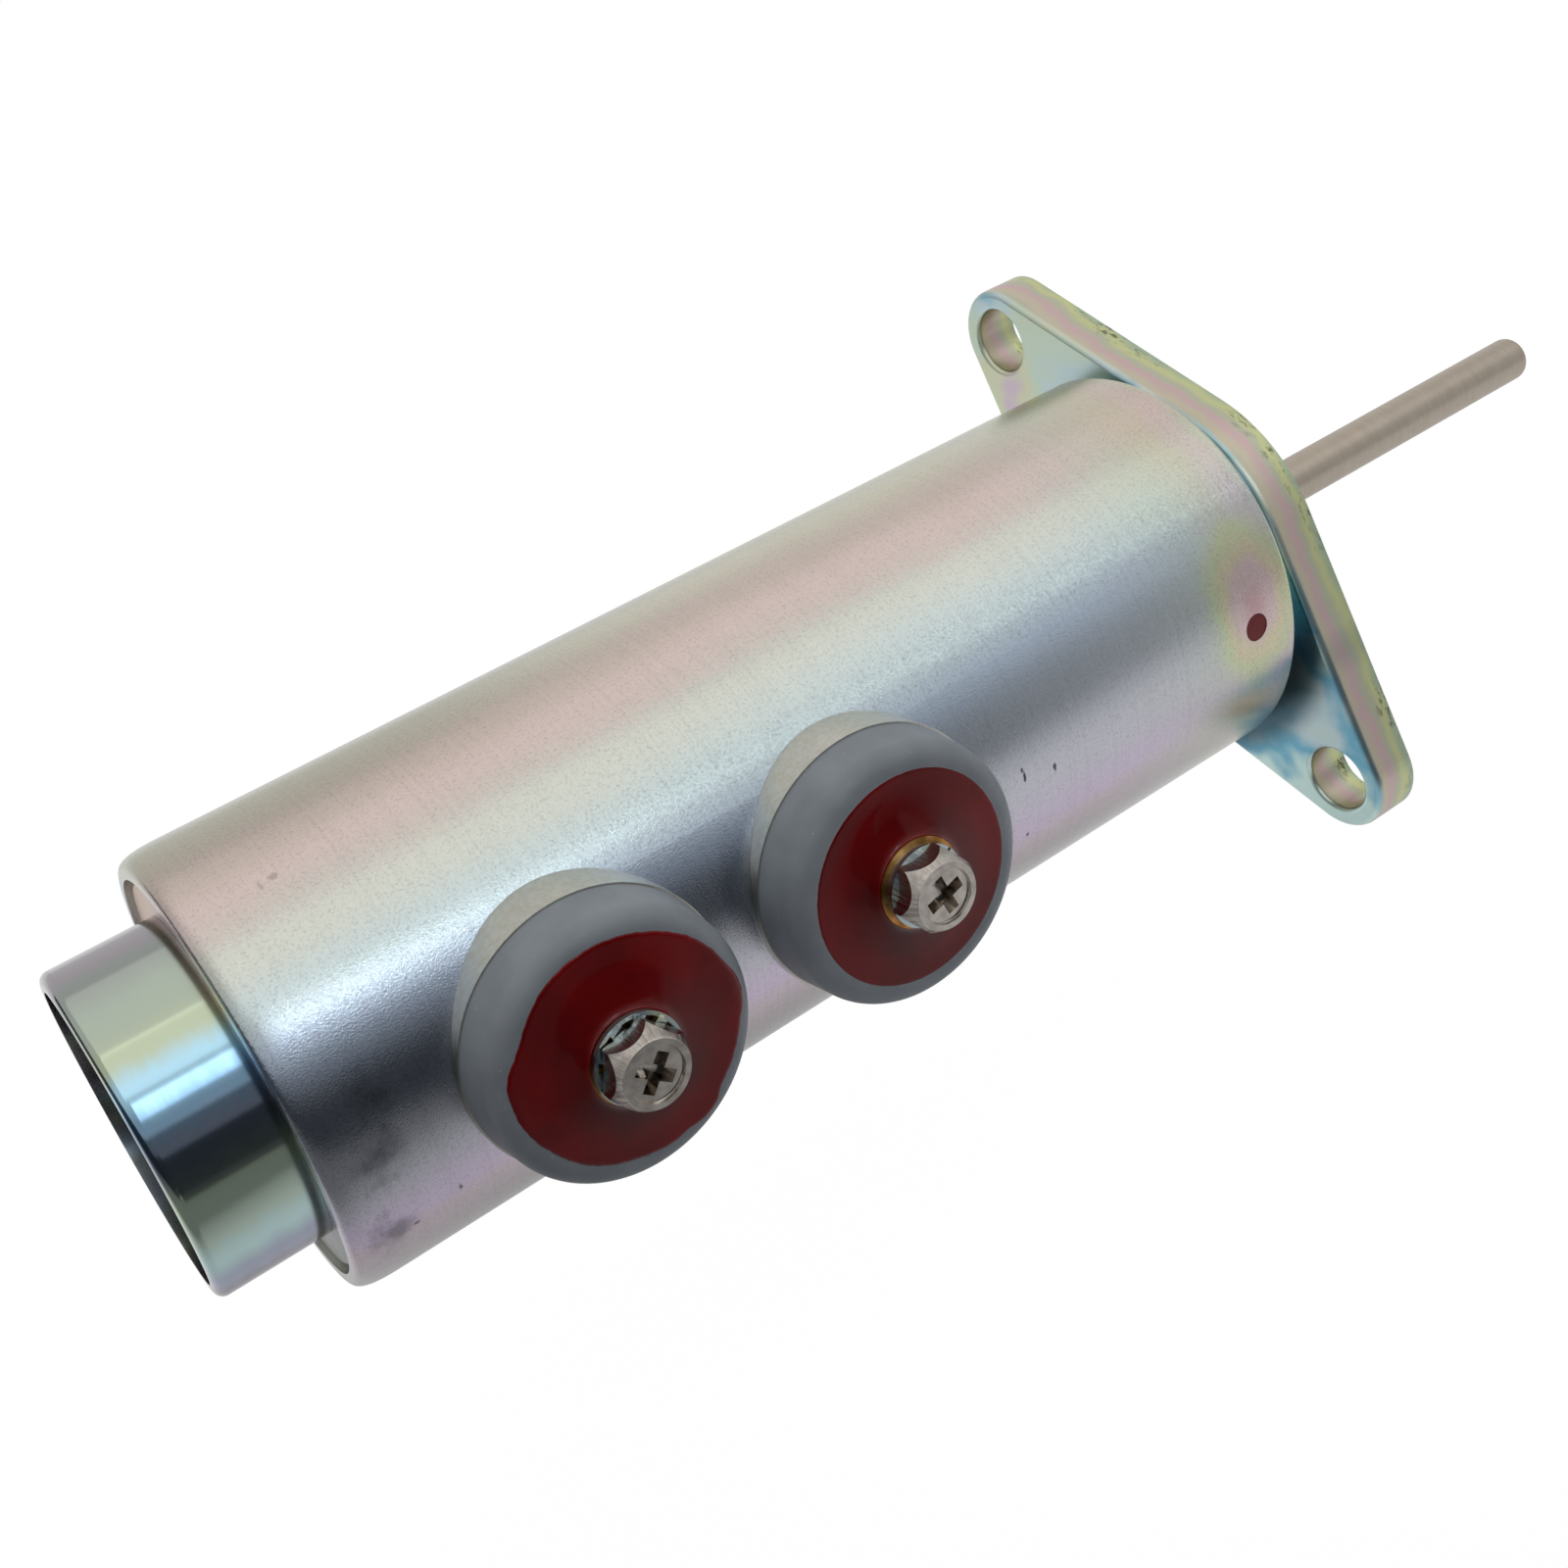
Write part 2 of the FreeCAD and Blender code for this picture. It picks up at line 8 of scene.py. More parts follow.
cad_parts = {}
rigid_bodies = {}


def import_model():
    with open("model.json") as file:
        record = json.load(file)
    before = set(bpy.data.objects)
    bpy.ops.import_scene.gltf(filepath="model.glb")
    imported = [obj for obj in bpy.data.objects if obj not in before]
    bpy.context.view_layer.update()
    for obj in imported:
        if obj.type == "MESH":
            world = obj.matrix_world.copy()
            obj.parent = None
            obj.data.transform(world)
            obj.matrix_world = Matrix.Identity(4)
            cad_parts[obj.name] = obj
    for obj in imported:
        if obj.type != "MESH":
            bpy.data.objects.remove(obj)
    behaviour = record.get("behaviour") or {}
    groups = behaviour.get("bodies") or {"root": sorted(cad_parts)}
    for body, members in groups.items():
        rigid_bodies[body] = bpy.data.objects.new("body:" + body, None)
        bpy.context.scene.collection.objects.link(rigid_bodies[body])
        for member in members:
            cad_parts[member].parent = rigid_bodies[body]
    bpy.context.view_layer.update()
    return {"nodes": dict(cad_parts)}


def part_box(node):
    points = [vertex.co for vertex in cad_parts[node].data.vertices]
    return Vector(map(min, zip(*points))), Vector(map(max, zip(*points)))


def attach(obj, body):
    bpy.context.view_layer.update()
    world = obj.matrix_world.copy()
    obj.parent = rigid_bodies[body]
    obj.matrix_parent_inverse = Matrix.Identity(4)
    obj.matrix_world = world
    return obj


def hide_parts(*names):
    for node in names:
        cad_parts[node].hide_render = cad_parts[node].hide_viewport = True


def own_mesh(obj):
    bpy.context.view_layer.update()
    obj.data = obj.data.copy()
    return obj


for start_up in list(bpy.data.objects):
    bpy.data.objects.remove(start_up, do_unlink=True)
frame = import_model()

# Camera. It stands close behind and above the terminals, as a product photographer
# does over a table: the lens, place, turn and small shift were fitted to outlines.
camera = bpy.data.objects.new("camera", bpy.data.cameras.new("camera"))
bpy.context.collection.objects.link(camera)
camera.data.lens = 43.38
camera.data.sensor_width = 36.0
camera.data.shift_x = 0.0255
camera.data.shift_y = 0.0054
camera.data.clip_start = 0.01
camera_place = (-0.155262, -0.171415, 0.100883)
turn = math.radians(-25.768)
lift = math.radians(27.981)
roll = math.radians(-16.720)
back = Vector((math.sin(turn) * math.cos(lift), -math.cos(turn) * math.cos(lift), math.sin(lift)))
level_right = Vector((0, 0, 1)).cross(back).normalized()
level_up = back.cross(level_right)
right = math.cos(roll) * level_right + math.sin(roll) * level_up
up = -math.sin(roll) * level_right + math.cos(roll) * level_up
camera_axes = Matrix((right, up, back)).transposed().to_4x4()
camera.matrix_world = Matrix.Translation(camera_place) @ camera_axes
scene = bpy.context.scene
scene.camera = camera
scene.view_settings.view_transform = "Standard"


# Stage. A sheet of white paper lies under the solenoid and a dark card stands behind the
# camera, which gives the plated steel the dark band that it shows between its highlights.
def colour(hex_code):
    """An sRGB hex colour as the linear RGBA that nodes take."""
    parts = [int(hex_code[i:i + 2], 16) / 255 for i in (0, 2, 4)]
    return tuple(p / 12.92 if p < 0.04045 else ((p + 0.055) / 1.055) ** 2.4 for p in parts) + (1.0,)


def add(tree, kind, settings=None, values=None, links=None, stops=None, between="EASE"):
    """Add a node, set its own settings and socket values, and link sockets into it. A
    colour ramp also takes its (place, hex) stops and how it goes between them."""
    node = tree.nodes.new(kind)
    for name, value in (settings or {}).items():
        setattr(node, name, value)
    for socket, value in (values or {}).items():
        node.inputs[socket].default_value = value
    for socket, source in (links or {}).items():
        tree.links.new(source, node.inputs[socket])
    if stops:
        band = node.color_ramp
        band.interpolation = between
        while len(band.elements) < len(stops):
            band.elements.new(0.5)
        for element, (at, hex_code) in zip(band.elements, stops):
            element.position = at
            element.color = colour(hex_code)
    return node


def start_material(name, values):
    """A new material, its tree, its shader with some values set, and the place on the
    piece in metres."""
    material = bpy.data.materials.new(name)
    material.use_nodes = True
    tree = material.node_tree
    shader = tree.nodes["Principled BSDF"]
    for socket, value in values.items():
        shader.inputs[socket].default_value = value
    place = add(tree, "ShaderNodeTexCoord").outputs["Object"]
    return material, tree, shader, place


def card(name, corners, material):
    """A flat stage card through four corners, in metres."""
    mesh = bpy.data.meshes.new(name)
    mesh.from_pydata(corners, [], [tuple(range(len(corners)))])
    mesh.materials.append(material)
    piece = bpy.data.objects.new(name, mesh)
    bpy.context.collection.objects.link(piece)
    return piece


def lying(name, x0, x1, y0, y1, z, material):
    """A card that lies flat and faces up."""
    return card(name, [(x0, y0, z), (x1, y0, z), (x1, y1, z), (x0, y1, z)], material)


def upright(name, x0, x1, y, z0, z1, material):
    """A standing card that the metal mirrors and the camera looks through."""
    piece = card(name, [(x0, y, z0), (x1, y, z0), (x1, y, z1), (x0, y, z1)], material)
    piece.visible_camera = False


floor = -0.055

# Matte white paper: it reads as pure white to the eye and still takes a faint shadow.
# Its colour is painted grey towards the camera's corner, as the photographer's shadow.
paper, tree, shader, place = start_material("matte_white_paper", {"Roughness": 0.9})
parts = add(tree, "ShaderNodeSeparateXYZ", None, None, {0: place})
from_corner = add(tree, "ShaderNodeMath", {"operation": "MULTIPLY_ADD"}, {1: 0.7},
                  {0: parts.outputs["X"], 2: parts.outputs["Y"]})
lit = add(tree, "ShaderNodeMapRange", None, {"From Min": -0.185, "From Max": -0.095},
          {"Value": from_corner.outputs[0]})
shade = add(tree, "ShaderNodeValToRGB", None, None, {0: lit.outputs[0]},
            [(0.0, "727377"), (1.0, "dfdfe2")], "LINEAR")
tree.links.new(shade.outputs[0], shader.inputs["Base Color"])
# The metal mirrors less of it: a shadow is painted into what it mirrors under the
# housing, and more so under the housing's rear half.
mirrored = add(tree, "ShaderNodeMapRange", None, {"To Min": 0.05, "To Max": 0.5},
               {"Value": lit.outputs[0]})
for centre, reach, darkest in (((-0.12, 0.02, floor), (0.09, 0.05, 1.0), 0.4),
                               ((-0.045, -0.008, floor), (0.14, 0.022, 1.0), 0.5)):
    shaded = add(tree, "ShaderNodeMapping", {"vector_type": "TEXTURE"},
                 {"Location": centre, "Scale": reach}, {"Vector": place})
    shaded = add(tree, "ShaderNodeVectorMath", {"operation": "LENGTH"}, None, {0: shaded.outputs[0]})
    shaded = add(tree, "ShaderNodeMapRange", {"interpolation_type": "SMOOTHSTEP"},
                 {"From Min": 0.2, "From Max": 1.2, "To Min": darkest, "To Max": 1.0},
                 {"Value": shaded.outputs["Value"]})
    mirrored = add(tree, "ShaderNodeMath", {"operation": "MULTIPLY"}, None,
                   {0: mirrored.outputs[0], 1: shaded.outputs[0]})
# What the camera sees of it is white, with a twentieth left for the shadow.
path = add(tree, "ShaderNodeLightPath")
seen = add(tree, "ShaderNodeMath", {"operation": "MULTIPLY"}, None,
           {0: path.outputs["Is Glossy Ray"], 1: mirrored.outputs[0]})
seen = add(tree, "ShaderNodeMath", {"operation": "MULTIPLY_ADD"}, {1: 0.95},
           {0: path.outputs["Is Camera Ray"], 2: seen.outputs[0]})
seen = add(tree, "ShaderNodeMath", {"operation": "ADD", "use_clamp": True}, None,
           {0: seen.outputs[0], 1: path.outputs["Is Transmission Ray"]})
glow = add(tree, "ShaderNodeEmission", None, {"Color": (1, 1, 1, 1), "Strength": 1.03})
blend = add(tree, "ShaderNodeMixShader", None, None,
            {0: seen.outputs[0], 1: shader.outputs[0], 2: glow.outputs[0]})
tree.links.new(blend.outputs[0], tree.nodes["Material Output"].inputs["Surface"])

# Charcoal felt gives almost nothing back. Grey board above it softens the end of the dark
# band, and pale board stands where the band should only be half dark, by the flange.
boards = {}
for name, tone in (("charcoal_felt", "4b4e57"), ("grey_board", "a4a6ad"),
                   ("pale_grey_board", "d4d6d9")):
    boards[name], tree, shader, place = start_material(
        name, {"Base Color": colour(tone), "Roughness": 1.0})

lying("paper_floor", -1.2, 1.6, -0.165, 2.4, floor, paper)
lying("paper_beside", 0.0, 1.6, -0.24, -0.1655, floor, paper)
felt = boards["charcoal_felt"]
lying("felt_table", -0.6, -0.001, -0.24, -0.1655, floor, felt).visible_camera = False
upright("felt_card", -0.45, 0.03, -0.235, floor, 0.044, felt)
upright("grey_card_above", -0.45, 0.03, -0.235, 0.0445, 0.108, boards["grey_board"])
upright("pale_card_beside", 0.031, 0.16, -0.236, floor, 0.085, boards["pale_grey_board"])
card("felt_card_behind", [(-0.42, -0.5, floor), (-0.42, 0.5, floor), (-0.42, 0.5, 0.09),
                          (-0.42, -0.5, 0.09)], felt).visible_camera = False

# Light. A strip light high behind the camera draws the long highlight, soft boxes above
# light the top, and the white room fills the rest.
world = bpy.data.worlds.new("white_room")
scene.world = world
world.use_nodes = True
tree = world.node_tree
path = add(tree, "ShaderNodeLightPath")
room = add(tree, "ShaderNodeMapRange", None, {"To Min": 0.62, "To Max": 1.0},
           {"Value": path.outputs["Is Camera Ray"]})
tree.links.new(room.outputs[0], tree.nodes["Background"].inputs["Strength"])
tree.nodes["Background"].inputs["Color"].default_value = (1.0, 1.0, 1.0, 1.0)


def soft_light(name, x, degrees, away, width, height, power, tint):
    """A soft box that faces the rod's axis at x, turned in degrees from +Y up to +Z."""
    data = bpy.data.lights.new(name, "AREA")
    data.shape = "RECTANGLE"
    data.size = width
    data.size_y = height
    data.energy = power
    data.color = colour(tint)[:3]
    lamp = bpy.data.objects.new(name, data)
    bpy.context.collection.objects.link(lamp)
    lamp.visible_camera = False
    turned = math.radians(degrees)
    outward = Vector((0, math.cos(turned), math.sin(turned)))
    along = Vector((1, 0, 0))
    lamp_axes = Matrix((along, outward.cross(along), outward)).transposed().to_4x4()
    lamp.matrix_world = Matrix.Translation(Vector((x, 0, 0)) + away * outward) @ lamp_axes


soft_light("strip_light", -0.09, 139, 0.5, 0.22, 0.10, 0.10, "eef6ff")
soft_light("small_lamp", -0.04, 141, 0.5, 0.03, 0.03, 0.035, "f4f9ff")
soft_light("strip_tail", 0.25, 136.5, 0.5, 0.38, 0.006, 0.045, "eef6ff")
soft_light("front_box", 0.10, 113.5, 0.6, 1.1, 0.34, 0.53, "fffdfa")
soft_light("top_box", 0.10, 72.5, 0.62, 1.1, 0.645, 0.60, "fffaf4")
soft_light("back_box", 0.50, 25, 0.6, 0.8, 0.44, 0.24, "ffffff")

# Housing. A turned steel tube, zinc plated and chromated, its rear edge rolled in to a
# lip; the passivation's tints run along it and the lathe's fine rings run round it.
housing_r = 0.025
# A colour Mix node's sockets: its two colours and what comes out.
FIRST = 6
SECOND = 7
MIXED = 2


def round_the_axis(tree, place):
    """The angle round the push rod's axis, as 0 to 1 from 360 to 0 degrees, with 180
    degrees towards the terminals and 90 degrees straight up."""
    parts = add(tree, "ShaderNodeSeparateXYZ", None, None, {0: place})
    facing = add(tree, "ShaderNodeMath", {"operation": "MULTIPLY"}, {1: -1.0},
                 {0: parts.outputs["Y"]})
    angle = add(tree, "ShaderNodeMath", {"operation": "ARCTAN2"}, None,
                {0: parts.outputs["Z"], 1: facing.outputs[0]})
    share = add(tree, "ShaderNodeMapRange", None,
                {"From Min": math.radians(-180), "From Max": math.radians(180)},
                {"Value": angle.outputs[0]})
    return share.outputs[0]


def at_angle(degrees):
    """Where that angle stands on a colour ramp."""
    return (360 - degrees) / 360


def on_housing(x_mm, degrees):
    """The point of the housing's outside at x_mm along it and degrees round it."""
    round_by = math.radians(degrees)
    return x_mm / 1000, housing_r * math.cos(round_by), housing_r * math.sin(round_by)


def blotch(x_mm, y_mm, z_mm):
    """The scale of a pattern whose blotches are that wide along x, y and z."""
    return 1000 / x_mm, 1000 / y_mm, 1000 / z_mm


def lathe_sheen(tree, shader, amount):
    """Rings round the X axis spread a highlight along the X axis."""
    tangent = add(tree, "ShaderNodeTangent", {"direction_type": "RADIAL", "axis": "X"})
    tree.links.new(tangent.outputs[0], shader.inputs["Tangent"])
    shader.inputs["Anisotropic"].default_value = amount
    shader.inputs["Anisotropic Rotation"].default_value = 0.25


def dress(node, material):
    """Put a material on a CAD piece that stays as it is."""
    piece = frame["nodes"][node]
    if not piece.material_slots:
        piece.data.materials.append(material)
    for slot in piece.material_slots:
        slot.material = material


# Zinc with clear chromate over a turned tube: satin grey steel whose passive film turns
# from yellow-green over pink and blue to lavender as it goes round.
zinc_housing, tree, shader, place = start_material(
    "zinc_chromate_on_turned_steel",
    {"Metallic": 1.0, "Roughness": 0.27, "Coat Weight": 0.35, "Coat Roughness": 0.05})
drift = add(tree, "ShaderNodeMapping", None, {"Scale": blotch(60, 14, 14)}, {"Vector": place})
drift = add(tree, "ShaderNodeTexNoise", None, {"Scale": 1.0}, {"Vector": drift.outputs[0]})
moved = add(tree, "ShaderNodeMath", {"operation": "MULTIPLY_ADD"}, {1: 0.05},
            {0: drift.outputs[0], 2: round_the_axis(tree, place)})
moved = add(tree, "ShaderNodeMath", {"operation": "SUBTRACT"}, {1: 0.025}, {0: moved.outputs[0]})
base_colour = add(tree, "ShaderNodeValToRGB", None, None, {0: moved.outputs[0]}, [
    (at_angle(346), "c8c4ba"), (at_angle(318), "cabdc0"), (at_angle(290), "c0c3cb"),
    (at_angle(262), "c3cbc0"), (at_angle(240), "c8c6b8"), (at_angle(225), "c6c2bf"),
    (at_angle(210), "c8bbc1"), (at_angle(198), "c9bcd0"), (at_angle(184), "c3c4cc"),
    (at_angle(168), "b8bfc6"), (at_angle(152), "bccadb"), (at_angle(140), "c6d3d3"),
    (at_angle(128), "cdd0c6"), (at_angle(113), "dac8c3"), (at_angle(100), "c9bab0"),
    (at_angle(86), "cac5b0"), (at_angle(68), "c4c9b2"), (at_angle(46), "bfc7c4"),
    (at_angle(30), "c2c2ca"), (at_angle(14), "c8c4ba")])
# The film is thicker in rings at the front end, by the flange.
parts = add(tree, "ShaderNodeSeparateXYZ", None, None, {0: place})
wavy = add(tree, "ShaderNodeMapping", None, {"Scale": blotch(30, 10, 10)}, {"Vector": place})
wavy = add(tree, "ShaderNodeTexNoise", None, {"Scale": 1.0}, {"Vector": wavy.outputs[0]})
along = add(tree, "ShaderNodeMath", {"operation": "MULTIPLY_ADD"}, {1: 0.006},
            {0: wavy.outputs[0], 2: parts.outputs["X"]})
front = add(tree, "ShaderNodeMapRange", None, {"From Min": -0.040, "From Max": -0.0065},
            {"Value": along.outputs[0]})
front_film = add(tree, "ShaderNodeValToRGB", None, None, {0: front.outputs[0]}, [
    (0.0, "c6c8c4"), (0.35, "bcc6bb"), (0.6, "bec8ae"), (0.8, "c9c3a6"), (0.93, "cdb9b4"),
    (1.0, "bec4aa")])
front_share = add(tree, "ShaderNodeMapRange", {"interpolation_type": "SMOOTHSTEP"},
                  {"From Min": 0.1, "From Max": 1.0, "To Max": 0.6}, {"Value": front.outputs[0]})
base_colour = add(tree, "ShaderNodeMix", {"data_type": "RGBA"}, None,
           {0: front_share.outputs[0], FIRST: base_colour.outputs[0], SECOND: front_film.outputs[0]})
# Round the sealed hole the acid stayed longer: a pink drop with a yellow-green rim.
fill_hole = (-0.0155, -0.025, 0.003)
drop = add(tree, "ShaderNodeMapping", {"vector_type": "TEXTURE"},
           {"Location": fill_hole, "Scale": (1.0, 2.0, 1.5)}, {"Vector": place})
drop = add(tree, "ShaderNodeVectorMath", {"operation": "LENGTH"}, None, {0: drop.outputs[0]})
wavy = add(tree, "ShaderNodeMapping", None, {"Scale": blotch(3, 3, 3)}, {"Vector": place})
wavy = add(tree, "ShaderNodeTexNoise", None, {"Scale": 1.0}, {"Vector": wavy.outputs[0]})
drop = add(tree, "ShaderNodeMath", {"operation": "MULTIPLY_ADD"}, {1: 0.0022},
           {0: wavy.outputs[0], 2: drop.outputs["Value"]})
drop_film = add(tree, "ShaderNodeMapRange", None, {"From Min": 0.001, "From Max": 0.009},
                {"Value": drop.outputs[0]})
drop_film = add(tree, "ShaderNodeValToRGB", None, None, {0: drop_film.outputs[0]}, [
    (0.0, "cda0a8"), (0.35, "d6bcbd"), (0.55, "d4caa6"), (0.72, "c6d0a2"), (1.0, "c4ceb8")])
drop_share = add(tree, "ShaderNodeMapRange", {"interpolation_type": "SMOOTHSTEP"},
                 {"From Min": 0.0095, "From Max": 0.006, "To Max": 0.8}, {"Value": drop.outputs[0]})
base_colour = add(tree, "ShaderNodeMix", {"data_type": "RGBA"}, None,
           {0: drop_share.outputs[0], FIRST: base_colour.outputs[MIXED], SECOND: drop_film.outputs[0]})
# Streaks 0.45 mm wide run round with the tool: real feed marks are finer than the render.
streaks = add(tree, "ShaderNodeMapping", None, {"Scale": blotch(0.45, 90, 90)}, {"Vector": place})
streaks = add(tree, "ShaderNodeTexNoise", None, {"Scale": 1.0, "Detail": 3.0, "Roughness": 0.7},
              {"Vector": streaks.outputs[0]})
streaks = add(tree, "ShaderNodeValToRGB", None, None, {0: streaks.outputs[0]},
              [(0.30, "b4b4b6"), (0.55, "ffffff"), (1.0, "ffffff")], "LINEAR")
base_colour = add(tree, "ShaderNodeMix", {"data_type": "RGBA", "blend_type": "MULTIPLY"}, {0: 0.12},
           {FIRST: base_colour.outputs[MIXED], SECOND: streaks.outputs[0]})
# The plating's grain, 0.3 mm wide: real crystals are finer than the render.
crystals = add(tree, "ShaderNodeMapping", None, {"Scale": blotch(0.3, 0.3, 0.3)}, {"Vector": place})
crystals = add(tree, "ShaderNodeTexNoise", None, {"Scale": 1.0, "Roughness": 0.7},
               {"Vector": crystals.outputs[0]})
crystals = add(tree, "ShaderNodeValToRGB", None, None, {0: crystals.outputs[0]},
               [(0.30, "bcbcc0"), (0.50, "ffffff")], "LINEAR")
base_colour = add(tree, "ShaderNodeMix", {"data_type": "RGBA", "blend_type": "MULTIPLY"}, {0: 0.4},
           {FIRST: base_colour.outputs[MIXED], SECOND: crystals.outputs[0]})
# Nicks where the film has gone: (mm along, degrees round, half sizes along and round in
# mm, how bare the steel is).
broken = add(tree, "ShaderNodeMapping", None, {"Scale": blotch(0.35, 0.35, 0.35)}, {"Vector": place})
broken = add(tree, "ShaderNodeTexNoise", None, {"Scale": 1.0}, {"Vector": broken.outputs[0]})
nicked = None
for x_mm, degrees, half_along, half_round, bare in (
        (-51.8, 182.6, 0.22, 0.75, 0.95), (-52.0, 180.4, 0.22, 0.4, 0.8),
        (-47.6, 184.9, 0.26, 0.6, 0.9), (-51.9, 201.5, 0.25, 0.3, 0.85),
        (-124.7, 201.6, 0.22, 0.5, 0.75), (-129.8, 204.9, 0.45, 0.22, 0.7),
        (-126.5, 113.8, 0.6, 0.3, 0.3), (-128.0, 114.6, 0.25, 0.4, 0.25)):
    near = add(tree, "ShaderNodeMapping", {"vector_type": "TEXTURE"},
               {"Location": on_housing(x_mm, degrees),
                "Scale": (half_along / 1000, 2 * half_round / 1000, half_round / 1000)},
               {"Vector": place})
    near = add(tree, "ShaderNodeVectorMath", {"operation": "LENGTH"}, None, {0: near.outputs[0]})
    near = add(tree, "ShaderNodeMath", {"operation": "MULTIPLY_ADD"}, {1: 1.6},
               {0: broken.outputs[0], 2: near.outputs["Value"]})
    near = add(tree, "ShaderNodeMapRange", None,
               {"From Min": 1.75, "From Max": 1.45, "To Max": bare}, {"Value": near.outputs[0]})
    if nicked is None:
        nicked = near
    else:
        nicked = add(tree, "ShaderNodeMath", {"operation": "MAXIMUM"}, None,
                     {0: nicked.outputs[0], 1: near.outputs[0]})
base_colour = add(tree, "ShaderNodeMix", {"data_type": "RGBA"}, {SECOND: colour("2c3027")},
           {0: nicked.outputs[0], FIRST: base_colour.outputs[MIXED]})
# Grey smudges by the rear lip, where fingers held it: (mm along, degrees round, reach in
# mm, how dark).
clouds = add(tree, "ShaderNodeMapping", None, {"Scale": blotch(2.5, 2.5, 2.5)}, {"Vector": place})
clouds = add(tree, "ShaderNodeTexNoise", None, {"Scale": 1.0, "Detail": 3.0},
             {"Vector": clouds.outputs[0]})
for x_mm, degrees, reach, amount in ((-131.0, 180, 7.5, 0.75), (-132.0, 204, 7.5, 0.75),
                                     (-129, 166, 7.0, 0.5)):
    smudge = add(tree, "ShaderNodeVectorMath", {"operation": "DISTANCE"},
                 {1: on_housing(x_mm, degrees)}, {0: place})
    smudge = add(tree, "ShaderNodeMath", {"operation": "MULTIPLY_ADD"}, {1: 0.007},
                 {0: clouds.outputs[0], 2: smudge.outputs["Value"]})
    smudge = add(tree, "ShaderNodeMapRange", {"interpolation_type": "SMOOTHSTEP"},
                 {"From Min": reach / 1000, "From Max": 0.4 * reach / 1000, "To Max": amount},
                 {"Value": smudge.outputs[0]})
    base_colour = add(tree, "ShaderNodeMix", {"data_type": "RGBA", "blend_type": "MULTIPLY"},
               {SECOND: colour("85868a")}, {0: smudge.outputs[0], FIRST: base_colour.outputs[MIXED]})
tree.links.new(base_colour.outputs[MIXED], shader.inputs["Base Color"])
lathe_sheen(tree, shader, 0.35)
grain = add(tree, "ShaderNodeMapping", None, {"Scale": blotch(0.14, 0.2, 0.2)}, {"Vector": place})
grain = add(tree, "ShaderNodeTexNoise", None, {"Scale": 1.0, "Detail": 1.0},
            {"Vector": grain.outputs[0]})
bump = add(tree, "ShaderNodeBump", None, {"Strength": 1.0, "Distance": 0.00002},
           {"Height": grain.outputs[0]})
tree.links.new(bump.outputs[0], shader.inputs["Normal"])
# The thin film over it mirrors more sharply. Short strokes 0.2 mm wide run round with the
# tool and each leans its own way, so the light's line breaks into sparkles.
strokes = add(tree, "ShaderNodeMapping", None, {"Scale": blotch(0.2, 0.9, 0.9)}, {"Vector": place})
strokes = add(tree, "ShaderNodeTexNoise", None, {"Scale": 1.0, "Detail": 1.0},
              {"Vector": strokes.outputs[0]})
bump = add(tree, "ShaderNodeBump", None, {"Strength": 1.0, "Distance": 0.00005},
           {"Height": strokes.outputs[0]})
tree.links.new(bump.outputs[0], shader.inputs["Coat Normal"])
dress("housing", zinc_housing)

# Fill hole. Red sealing compound closes the hole in the housing near the flange. It is
# poured resin: dark and glossy, and brighter where it thins against the brass.
terminals_mm = (-107.0, -72.5)
pour_y = -0.0325
red_compound, tree, shader, place = start_material(
    "red_sealing_compound", {"Roughness": 0.07, "Specular IOR Level": 0.26})
from_rear, from_front = [
    add(tree, "ShaderNodeVectorMath", {"operation": "DISTANCE"},
        {1: (x_mm / 1000, pour_y, 0.0)}, {0: place}) for x_mm in terminals_mm]
from_brass = add(tree, "ShaderNodeMath", {"operation": "MINIMUM"}, None,
                 {0: from_rear.outputs["Value"], 1: from_front.outputs["Value"]})
# Brighter where it thins against the brass; a ring further out is painted darker as shade, and it
# lightens again towards the rim.
thin_and_shade = add(tree, "ShaderNodeMapRange", None, {"From Min": 0.0048, "From Max": 0.0125},
           {"Value": from_brass.outputs[0]})
red = add(tree, "ShaderNodeValToRGB", None, None, {0: thin_and_shade.outputs[0]}, [
    (0.0, "8c120e"), (0.05, "660b0c"), (0.35, "680a0c"), (0.6, "74090c"), (1.0, "760b0e")])
mottle = add(tree, "ShaderNodeMapping", None, {"Scale": blotch(6, 6, 6)}, {"Vector": place})
mottle = add(tree, "ShaderNodeTexNoise", None, {"Scale": 1.0}, {"Vector": mottle.outputs[0]})
mottle = add(tree, "ShaderNodeValToRGB", None, None, {0: mottle.outputs[0]},
             [(0.3, "d8d8d8"), (0.7, "ffffff")])
red = add(tree, "ShaderNodeMix", {"data_type": "RGBA", "blend_type": "MULTIPLY"}, {0: 1.0},
          {FIRST: red.outputs[0], SECOND: mottle.outputs[0]})
tree.links.new(red.outputs[MIXED], shader.inputs["Base Color"])
waves = add(tree, "ShaderNodeMapping", None, {"Scale": blotch(5, 5, 5)}, {"Vector": place})
waves = add(tree, "ShaderNodeTexNoise", None, {"Scale": 1.0, "Detail": 1.0},
            {"Vector": waves.outputs[0]})
bump = add(tree, "ShaderNodeBump", None, {"Strength": 0.2, "Distance": 0.0001},
           {"Height": waves.outputs[0]})
tree.links.new(bump.outputs[0], shader.inputs["Normal"])
dress("fill_hole_seal", red_compound)

